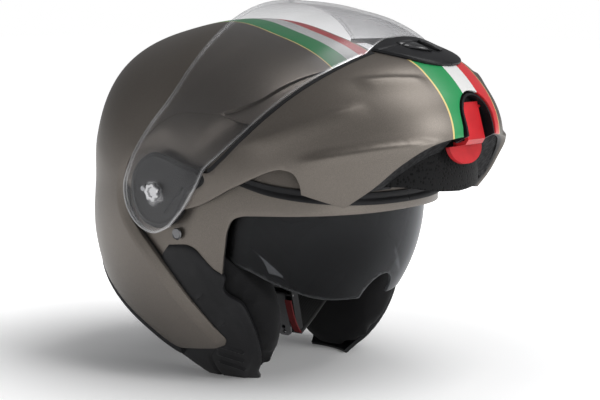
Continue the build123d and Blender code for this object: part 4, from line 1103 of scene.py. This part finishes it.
class HELMET_OT_covers(bpy.types.Operator):
    """Black side covers with their fold line, ribs, pips and seam"""
    bl_idname = "helmet.covers"
    bl_label = "Side covers"

    def execute(self, context):
        far, deep = 150, -300
        rib, rib_places = (0.06, 0.02), ((-0.3, -0.94), (-0.27, -1.0), (-0.24, -1.06))
        pip, pip_places = (0.035, -0.02), ((-0.24, -0.6), (-0.33, -0.76))
        proud, fold_rise, fold_front, fold_rear = 1.5, 0.9, 5.0, 1.5
        edge_drop, edge_width = 0.9, (0.2, 1.6)
        rib_rise, rib_width, seam_depth, seam_width = 1.3, 0.7, 1.1, 0.9
        back_inset, spacing = 2.3, 1.5
        front, back = curve(COVER), curve(COVER_REAR)
        outline = closed_on(FRONT, front[:-1], back[:-1])
        ground = closed_on(FRONT, straight([(far, FLOOR), (-far, FLOOR)], COARSE), [(-far, deep), (far, deep)])
        edge = FRONT.plane(front)
        fold = FRONT.plane(curve(COVER_FOLD))
        seam = FRONT.plane(curve(COVER_SEAM))
        marks = [(np.subtract(place, rib), np.add(place, rib)) for place in rib_places]
        marks += [(place, np.add(place, pip)) for place in pip_places]
        marks = [FRONT.plane(straight(crown(mark))) for mark in marks]

        def relief(points):
            """Proud of the shell, with a fold line towards the pad, a lowered front edge, ribs and pips."""
            off = beside(points, fold)[0] * FRONT.scale
            out = -proud - fold_rise * bell(off, np.where(off > 0, fold_front, fold_rear))
            out = out + edge_drop * (1 - ease(apart(points, edge, FRONT)[0], *edge_width))
            for mark in marks:
                out = out - rib_rise * bell(apart(points, mark, FRONT)[0], rib_width)
            return out + seam_depth * bell(apart(points, seam, FRONT)[0], seam_width)

        skin("side_covers", FRONT, [outline, ground], lambda a, b: a & ~b, relief, back_inset, spacing,
             [fold, seam, *marks], edge=0.5)
        return {"FINISHED"}


class HELMET_OT_chin_bar(bpy.types.Operator):
    """Painted chin bar with its creases, the gasket, the vent wing and its flap, and what lines it"""
    bl_idname = "helmet.chin_bar"
    bl_label = "Chin bar"

    def execute(self, context):
        top = curve(CHIN_TOP) - CHIN_INSET / math.sqrt(2)
        self.shell(top)
        for side, name in SIDES:
            turned("hub_" + name, (0, 0), HUB, side, count=64)
        self.gasket()
        self.vent(top)
        self.inside_parts()
        return {"FINISHED"}

    def arch(self):
        """The lever's window in the chin bar, round at the top, across the middle of the head."""
        half, rise, foot, sill = 21, 20, 12, 6
        middle_angle, middle_radius = 12.6, 200
        turn = np.radians(np.arange(0, 91, 4))
        x = np.concatenate([half * np.sin(turn), [half, half, -0.1]])
        up = np.concatenate([foot + rise * np.cos(turn), [sill, -foot, -foot]])
        angle = middle_angle + np.degrees(up / middle_radius)
        return over_middle(CHIN.plane_across(np.maximum(x, 0), angle), CHIN, angle[[-1, 0]])

    def shell(self, top):
        upper_width, lower_width, spacing = 11.0, 3.0, 2.6
        low = np.vstack([curve(CHIN_LOW)[:-1], curve(CHIN_NOTCH)[:-1], curve(CHIN_ARM)])
        body = closed_on(CHIN, top, crown(CHIN_NOSE), low)
        base = CHIN.plane(ring_of(crown(BASE)) * 1.01)
        lines = []
        for points, rise in CREASES:
            p = smooth(np.asarray(points, float), COARSE)
            theta = np.degrees(np.arctan2(p[:, 2], -p[:, 1]))
            lines.append((CHIN.plane_across(p[:, 0], theta), rise * sizes().crease_rise))

        def creased(points):
            out = np.zeros(len(points))
            for line, rise in lines:
                out = out - ridge(points, line, rise, upper_width, lower_width, CHIN.scale)
            return out

        beads = [moved(line[2:-2], d / CHIN.scale) for line, _ in lines for d in (-3.0, -1.5, 0.0, 2.0)]
        skin("chin_bar_shell", CHIN, [body, tongue_line(CHIN, CHIN_INSET), base, self.arch()],
             lambda a, b, c, d: (a | b) & ~c & ~d, creased, WALL, spacing, beads, edge=sizes().edge)

    def gasket(self):
        """The gasket along the top edge, a strip between the edge and the same edge drawn in."""
        near, far, near_depth, far_depth, hub_room = 0.3, 3.0, 10, 14, 52
        proud, wall, spacing = 0.2, 3.6, 1.6
        outer, inner = top_strip(CHIN, near, near_depth), top_strip(CHIN, far, far_depth)
        one, two = tongue_line(CHIN, near), tongue_line(CHIN, far)
        hub = CHIN.plane(straight(
            [(hub_room * math.cos(t), hub_room * math.sin(t)) for t in np.linspace(0, 2 * math.pi, 60)], COARSE))
        skin("gasket", CHIN, [outer, inner, one, two, hub], lambda a, b, c, d, e: (a | c) & ~(b | d) & ~e, -proud,
             wall, spacing)

    def vent(self, top):
        """Black wing across the top of the chin: a pillow that thins to its edges, and the raised flap in
        its middle, over a lowered stretch of the wing."""
        low = curve(VENT_LOW)
        wing = closed_on(CHIN, low, crown(VENT_TOP))
        body = closed_on(CHIN, top, crown([*CHIN_NOSE, (-1.9, 0.3), (-0.6, 0.1)]))
        tongue = tongue_line(CHIN, CHIN_INSET)
        border, top_line = CHIN.plane(low), CHIN.plane(top)
        flap = looped(CHIN, FLAP)
        window, flap_half, angles = 19.3, 18.8, np.linspace(25, 50, 30)  # half widths, and their rays
        thin, full, round_width = 0.5, 2.7, 5
        flap_rise, flap_round, flap_gap, lowered = 1.5, 8, 0.1, 1.1

        def pillow(points):
            near = np.minimum(np.abs(beside(points, border)[0]), np.abs(beside(points, top_line)[0]) + 0.4)
            return -(thin + full * swell(near * CHIN.scale, round_width))

        def wing_skin(points):
            """The pillow, lowered where the flap lies."""
            thick = -pillow(points)
            across = CHIN.surface(points, 0)[:, 0] - window
            off, _ = apart(points, flap, CHIN)
            past = np.maximum(across, np.where(inside(points, flap), -off, off))
            return -(thick - lowered * (1 - ease(past, -1.6, 0.4)) * ease(thick, 1.0, 2.8))

        skin("vent_wing", CHIN, [wing, body, tongue], lambda a, b, c: a & (b | c), wing_skin, 0.2, FINE,
             [CHIN.plane_across(np.full(30, window), angles)])
        half = CHIN.plane_across(
            np.concatenate([np.full(30, flap_half), [0, 0]]), np.concatenate([angles, angles[[-1, 0]]]))
        half = np.vstack([half, half[-1:] * 1.05])
        front_edge = CHIN.plane(crown(FLAP[:3]))

        def flap_skin(points):
            side = flap_half - CHIN.surface(points, 0)[:, 0]
            near = np.minimum(apart(points, front_edge, CHIN)[0], side)
            return pillow(points) - flap_gap - flap_rise * swell(near, flap_round)

        skin("vent_flap_panel", CHIN, [flap, body, tongue, half], lambda a, b, c, d: a & (b | c) & d, flap_skin, -0.9,
             FINE, edge=0.3)

    def inside_parts(self):
        """The cloth curtain inside the chin bar, cut short at its sides, and the model's own parts there."""
        half, thick = 97.0, 2.0
        zone = closed_on(CURTAIN, curve([*CURTAIN_ZONE, CURTAIN_ZONE[0]])[:-1])
        side = np.vstack([CURTAIN.plane_across(np.full(40, half), np.linspace(-40, 60, 40)), [[0.0, 0.0]]])
        piece = skin("curtain", CURTAIN, [zone, side], lambda a, b: a & ~b, 0.0, thick, COARSE)
        paint_over(("chin_foam",), "foam")
        paint_over(("breath_deflector", "lever_bezel"), "black_plastic")
        paint_over(("release_lever",), "red_plastic")


class HELMET_OT_visors(bpy.types.Operator):
    """Clear visor with its base plates and screws, and the smoked sun visor"""
    bl_idname = "helmet.visors"
    bl_label = "Visors"

    def execute(self, context):
        self.clear_visor()
        self.sun_visor()
        self.base_plates()
        return {"FINISHED"}

    def clear_visor(self):
        """The clear sheet, with a band along its edges for the light in the cut edge."""
        thick, spacing, hole_radius, band = 2.4, 3.2, 5.4, 2.2
        turn = np.linspace(0, 2 * math.pi, 40, endpoint=False)
        rear, front = curve(VISOR_REAR), curve(VISOR_FRONT)
        outline = closed_on(VISOR, rear, front[:-1])
        rings = [VISOR.plane(moved(rear, -band)[3:]), VISOR.plane(moved(front, -band)[3:-3]),
                 tongue_line(VISOR, -band)[:-2]]
        skin("visor_sheet", VISOR, [outline, tongue_line(VISOR, 0.0), VISOR.plane(hole_radius * circle(turn))],
             lambda a, b, c: a & ~b & ~c, 0.0, thick, spacing, rings)

    def sun_visor(self):
        """A round-profiled lens with two arms and a round notch for the nose."""
        thick, nose, nose_height, hub_radius, drop = 2.0, 17, -81, 11, -12
        zone = closed_on(SUN, curve(SUN_EDGE), curve(SUN_TOP))
        turn = np.radians(np.arange(0, 181, 6))
        x, z = nose * np.sin(turn), nose_height + nose * np.cos(turn)
        level = SUN.radius * (1 - (x / SUN.half_width) ** SUN.power) ** (1 / SUN.power)
        notch = SUN.plane_across(x, np.degrees(np.arcsin(np.clip((z - drop) / level, -1, 1))))
        notch = np.vstack([notch, notch[-1:] * 1.05, notch[:1] * 1.05])
        turn = np.linspace(0, 6.2, 30)
        hub = SUN.plane(np.stack([hub_radius * np.cos(turn), drop + hub_radius * np.sin(turn)], -1))
        skin("sun_lens", SUN, [zone, notch, hub], lambda a, b, c: (a & ~b) | c, 0.0, thick, COARSE, edge=0.5)

    def base_plates(self):
        """The visor's black bases, each with a raised border, a stroke, a pin and its screw."""
        level, back, border_inset, low = 124.4, 1.7, 3.2, 1.2
        border_rise, border_width, stroke_rise, stroke_width = 1.0, 0.9, 1.2, 0.5
        outline = ring_of(crown(BASE))
        border = moved(outline, border_inset)
        if not inside(border[:1], outline)[0]:
            border = moved(outline, -border_inset)
        loop = np.vstack([border, border[:1]])
        stroke = straight([(-8.3, -14.5), (-24.8, 3.6)])

        def relief(points):
            out = low - border_rise * bell(beside(points, loop)[0], border_width)
            return out - stroke_rise * bell(beside(points, stroke)[0], stroke_width)

        skin("visor_bases", Panel_form(level), [outline], lambda a: a, relief, back, FINE, [loop, stroke], edge=0.3)
        for side, name in SIDES:
            turned("pin_" + name, PIN_PLACE, PIN, side, count=32)
        for side, name in SIDES:
            turned("screw_" + name, (0, 0), SCREW, side, lobes=7, depth=0.09, count=84)


class HELMET_OT_lining(bpy.types.Operator):
    """Crown pad, cheek pads and neck roll as padding, and the foam"""
    bl_idname = "helmet.lining"
    bl_label = "Lining"

    def execute(self, context):
        self.crown_pad()
        self.neck_roll()
        for side, name in SIDES:
            self.cheek_pad(side, name)
        paint_over(("foam_liner",), "foam")
        return {"FINISHED"}

    def crown_pad(self):
        """The comfort pad under the crown, with sewn channels from ear to ear, along rays from the axis."""
        thick, outer, channel, channel_width, room = 8.5, 0.6, 2.5, 3.0, 9
        low = looped(LINING, CROWN_LOW, COARSE)
        eye = closed_on(LINING, curve(EYEPORT) + [room, room], crown(EYEPORT_END))
        roll = looped(LINING, ROLL, COARSE, [0, room])

        def channelled(points):
            theta = np.degrees(np.arctan2(points[:, 1], -points[:, 0]))
            out = np.hypot(*points.T)
            depth = np.full(len(points), thick)
            for angle in (25, 60, 95, 130):
                depth -= channel * bell(np.radians(theta - angle) * out * LINING.scale, channel_width)
            return depth

        piece = skin("crown_lining", LINING, [low, eye, roll], lambda a, b, c: ~(a | b | c), outer, channelled,
                     COARSE)

    def neck_roll(self):
        """The pad round the nape, swollen between its seams."""
        outer, inner = 7.0, 36.0
        zone = closed_on(SHELL, curve([*ROLL, ROLL[0]])[:-1])
        piece = skin("neck_padding", SHELL, [zone], lambda a: a, outer, inner, COARSE)
        inflated(piece, cap=2.0, voxel=4.5)
        polished(piece, 0)

    def cheek_pad(self, side, name):
        """A cushion between the face and the shell: rings of its outline that swell from the face
        side's middle to their full size and close against the shell."""
        shell_inset, clear, above_floor = 5.0, 0.6, 1
        free_from, side_soft, floor_soft = 100, 25, 12
        outline = curve([*CHEEK, CHEEK[0]], COARSE)[:-1]
        middle = outline.mean(0)
        share, level = np.array(CHEEK_RINGS, float).T
        view = middle + (outline - middle)[None] * share[:, None, None]
        deep = FRONT.surface(FRONT.plane(view.reshape(-1, 2)), shell_inset)[:, 0].reshape(view.shape[:2])
        x = np.minimum(level[:, None] + np.zeros(len(outline)), np.maximum(deep - clear, 0))
        grid = np.concatenate([(side * x)[..., None], view], -1)
        grid[..., 2] = np.maximum(grid[..., 2], FLOOR + above_floor)
        points, quads = gridded(grid)
        piece = new_piece("cheek_cushion_" + name, points, quads)
        welded(piece, outwards=True)

        def hold(p):
            """It keeps its size next to the shell and on the floor."""
            return ease(free_from - np.abs(p[:, 0]), 0, side_soft) * ease(p[:, 2] - FLOOR, 0, floor_soft)

        inflated(piece, sizes().pad_swell, hold)
        polished(piece, 0)


class HELMET_OT_fittings(bpy.types.Operator):
    """Straps, buckle, ribbon, strikers and the small parts that stay as they are in the model"""
    bl_idname = "helmet.fittings"
    bl_label = "Fittings"

    def execute(self, context):
        self.strap("left", 1, STRAP_LEFT)
        self.strap("right", -1, STRAP_RIGHT)
        self.ribbon()
        for side, name in SIDES:
            turned("striker_button_" + name, crown(STRIKER_PLACE), STRIKER, side, count=40)
        paint_over(("hinge_plate_left", "hinge_plate_right", "sun_visor_pin_left", "sun_visor_pin_right",
                    "strap_anchor_left", "strap_anchor_right", "strap_rivets"), "steel")
        paint_over(("latch_catch_left", "latch_catch_right", "buckle_lever"), "dark_steel")
        paint_over(("buckle_body", "slider_rail", "slider_knob", "buckle_tongue"), "black_plastic")
        return {"FINISHED"}

    def strap(self, name, side, line):
        """A flat band along a smooth line of the front view, with its weave on a UV map."""
        half, thick, corner, middle, place = 12.0, 1.1, 0.6, 6, -27.0
        path = smooth(np.asarray(line) * [ANCHOR, CROWN], 2.0)
        path = np.stack([side * path[:, 0], np.full(len(path), place), path[:, 1]], -1)
        face = [(-half + corner, -thick), (-middle, -thick), (0, -thick), (middle, -thick), (half - corner, -thick)]
        section = [(-half, 0), *face, (half, 0), *((-across, -up) for across, up in face)]
        piece = swept("strap_band_" + name, path, section, across=(0, 1, 0))
        self.unroll(piece, path, 2 * half)
        polished(piece, 50)

    def unroll(self, piece, path, wide):
        """UV: u the way along the path in metres, v the share across it."""
        where = (coordinates(piece.data) - AXIS) * 1000
        run = np.concatenate([[0], np.cumsum(np.linalg.norm(np.diff(path, axis=0), axis=1))])
        along = np.concatenate([
            run[np.linalg.norm(part[:, None] - path[None], axis=2).argmin(1)] for part in np.array_split(where, 8)])
        across = (where[:, 1] - path[:, 1].mean()) / wide + 0.5
        layer = piece.data.uv_layers.new(name="UVMap")
        corner = np.empty(len(piece.data.loops), int)
        piece.data.loops.foreach_get("vertex_index", corner)
        layer.data.foreach_set("uv", np.stack([along[corner] / 1000, across[corner]], -1).ravel())

    def ribbon(self):
        """A short red pull tab beside the buckle's lever: the model's ribbon with smooth shading."""
        mesh = frame["nodes"]["pull_ribbon"].data.copy()
        piece = bpy.data.objects.new("ribbon_tab", mesh)
        bpy.context.scene.collection.objects.link(piece)
        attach(piece, "buckle_lever")
        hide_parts("pull_ribbon")
        mesh.materials.clear()
        mesh.materials.append(finish("red_ribbon"))
        polished(welded(piece), 30)


class HELMET_OT_studio(bpy.types.Operator):
    """Pale floor, soft studio light and the camera at the photograph's angle"""
    bl_idname = "helmet.studio"
    bl_label = "Studio"

    def execute(self, context):
        scene = context.scene
        scene.view_settings.view_transform = "Standard"
        self.camera(scene)
        self.floor()
        self.world(scene)
        self.lamps()
        return {"FINISHED"}

    def camera(self, scene):
        """The camera that was fitted to the photograph: 1.2 m away, and shifted beside the axis."""
        turn, rise = math.radians(-51.5), math.radians(7.0)
        distance, aside, lower, lens_mm, sensor_mm = 1200, 26.2, 17.9, 92.16, 36.0
        back = Vector((math.sin(turn) * math.cos(rise), -math.cos(turn) * math.cos(rise), math.sin(rise)))
        right = Vector((math.cos(turn), math.sin(turn), 0))
        up = back.cross(right)
        eye = Vector(AXIS) + (back * distance + right * aside - up * lower) / 1000
        data = bpy.data.cameras.new("Camera")
        data.lens, data.sensor_width = lens_mm, sensor_mm
        camera = bpy.data.objects.new("Camera", data)
        scene.collection.objects.link(camera)
        camera.matrix_world = Matrix.Translation(eye) @ Matrix((right, up, back)).transposed().to_4x4()
        scene.camera = camera

    def floor(self):
        """A pale square that glows more and more away from the helmet, up to the background's white."""
        half, near, far = 12.0, 0.12, 0.55
        f = Finish("studio_floor")
        base = f.mixed(f.noise(200, 2.0), (0.90, 0.90, 0.90), (0.94, 0.94, 0.94))
        x, y, _ = f.axes()
        glow = f.mixed(((x * x + y * y) ** 0.5).step(near, far), (0.1, 0.1, 0.1), (1.0, 1.0, 1.0))
        mesh = bpy.data.meshes.new("floor")
        mesh.from_pydata([(-half, -half, 0), (half, -half, 0), (half, half, 0), (-half, half, 0)], [], [(0, 1, 2, 3)])
        mesh.materials.append(f.coated(
            Base_Color=base, Roughness=0.85, Specular_IOR_Level=0.1, Emission_Strength=0.8, Emission_Color=glow))
        floor = bpy.data.objects.new("floor", mesh)
        bpy.context.scene.collection.objects.link(floor)

    def world(self, scene):
        """White to the camera, directly and through clear parts, and a dim light to everything else."""
        world = bpy.data.worlds.new("Studio")
        world.use_nodes = True
        tree = world.node_tree
        tree.nodes.clear()
        kinds = ("LightPath", "Math", "MixShader", "OutputWorld")
        path, most, mix, output = (tree.nodes.new("ShaderNode" + kind) for kind in kinds)
        most.operation = "MAXIMUM"
        tree.links.new(path.outputs["Is Camera Ray"], most.inputs[0])
        tree.links.new(path.outputs["Is Transmission Ray"], most.inputs[1])
        tree.links.new(most.outputs[0], mix.inputs[0])
        for slot, colour_of, strength in ((1, (0.97, 0.98, 1.0, 1), 0.24), (2, (1, 1, 1, 1), 1.0)):
            light = tree.nodes.new("ShaderNodeBackground")
            light.inputs["Color"].default_value = colour_of
            light.inputs["Strength"].default_value = strength
            tree.links.new(light.outputs[0], mix.inputs[slot])
        tree.links.new(mix.outputs[0], output.inputs["Surface"])
        scene.world = world

    def lamps(self):
        """Three soft boxes: over the front, in front, and a weak one behind on the right."""
        aimed_at = Vector((0, 0, 0.14))
        for name, place, size, power in (
            ("Top", (0.2, -0.9, 1.9), 1.3, 29.0),
            ("Front", (0.1, -2.3, 1.0), 1.1, 27.0),
            ("Rim", (-1.6, 1.6, 0.9), 1.2, 1.0),
        ):
            data = bpy.data.lights.new(name, "AREA")
            data.size, data.energy = size, power
            lamp = bpy.data.objects.new(name, data)
            bpy.context.scene.collection.objects.link(lamp)
            aim = aimed_at - Vector(place)
            lamp.matrix_world = Matrix.Translation(place) @ aim.to_track_quat("-Z", "Y").to_matrix().to_4x4()


class HELMET_PT_panel(bpy.types.Panel):
    bl_idname = "HELMET_PT_panel"
    bl_label = "Flip-up helmet"
    bl_space_type = "VIEW_3D"
    bl_region_type = "UI"
    bl_category = "Helmet"

    def draw(self, context):
        for name in MAKING_ORDER:
            self.layout.operator("helmet." + name)
        for group in (sizes(), looks()):
            box = self.layout.box()
            for key in group.bl_rna.properties.keys():
                if key not in ("rna_type", "name"):
                    box.prop(group, key)


MAKING_ORDER = ("studio", "shell", "covers", "chin_bar", "visors", "lining", "fittings")
CLASSES = (
    HelmetSizes, HelmetLooks, HELMET_OT_studio, HELMET_OT_shell, HELMET_OT_covers, HELMET_OT_chin_bar,
    HELMET_OT_visors, HELMET_OT_lining, HELMET_OT_fittings, HELMET_PT_panel,
)


def register():
    for cls in CLASSES:
        bpy.utils.register_class(cls)
    bpy.types.Scene.helmet_sizes = PointerProperty(type=HelmetSizes)
    bpy.types.Scene.helmet_looks = PointerProperty(type=HelmetLooks)


def unregister():
    del bpy.types.Scene.helmet_sizes
    del bpy.types.Scene.helmet_looks
    for cls in reversed(CLASSES):
        bpy.utils.unregister_class(cls)


def main():
    register()
    for name in MAKING_ORDER:
        getattr(bpy.ops.helmet, name)()


if __name__ == "__main__":
    main()
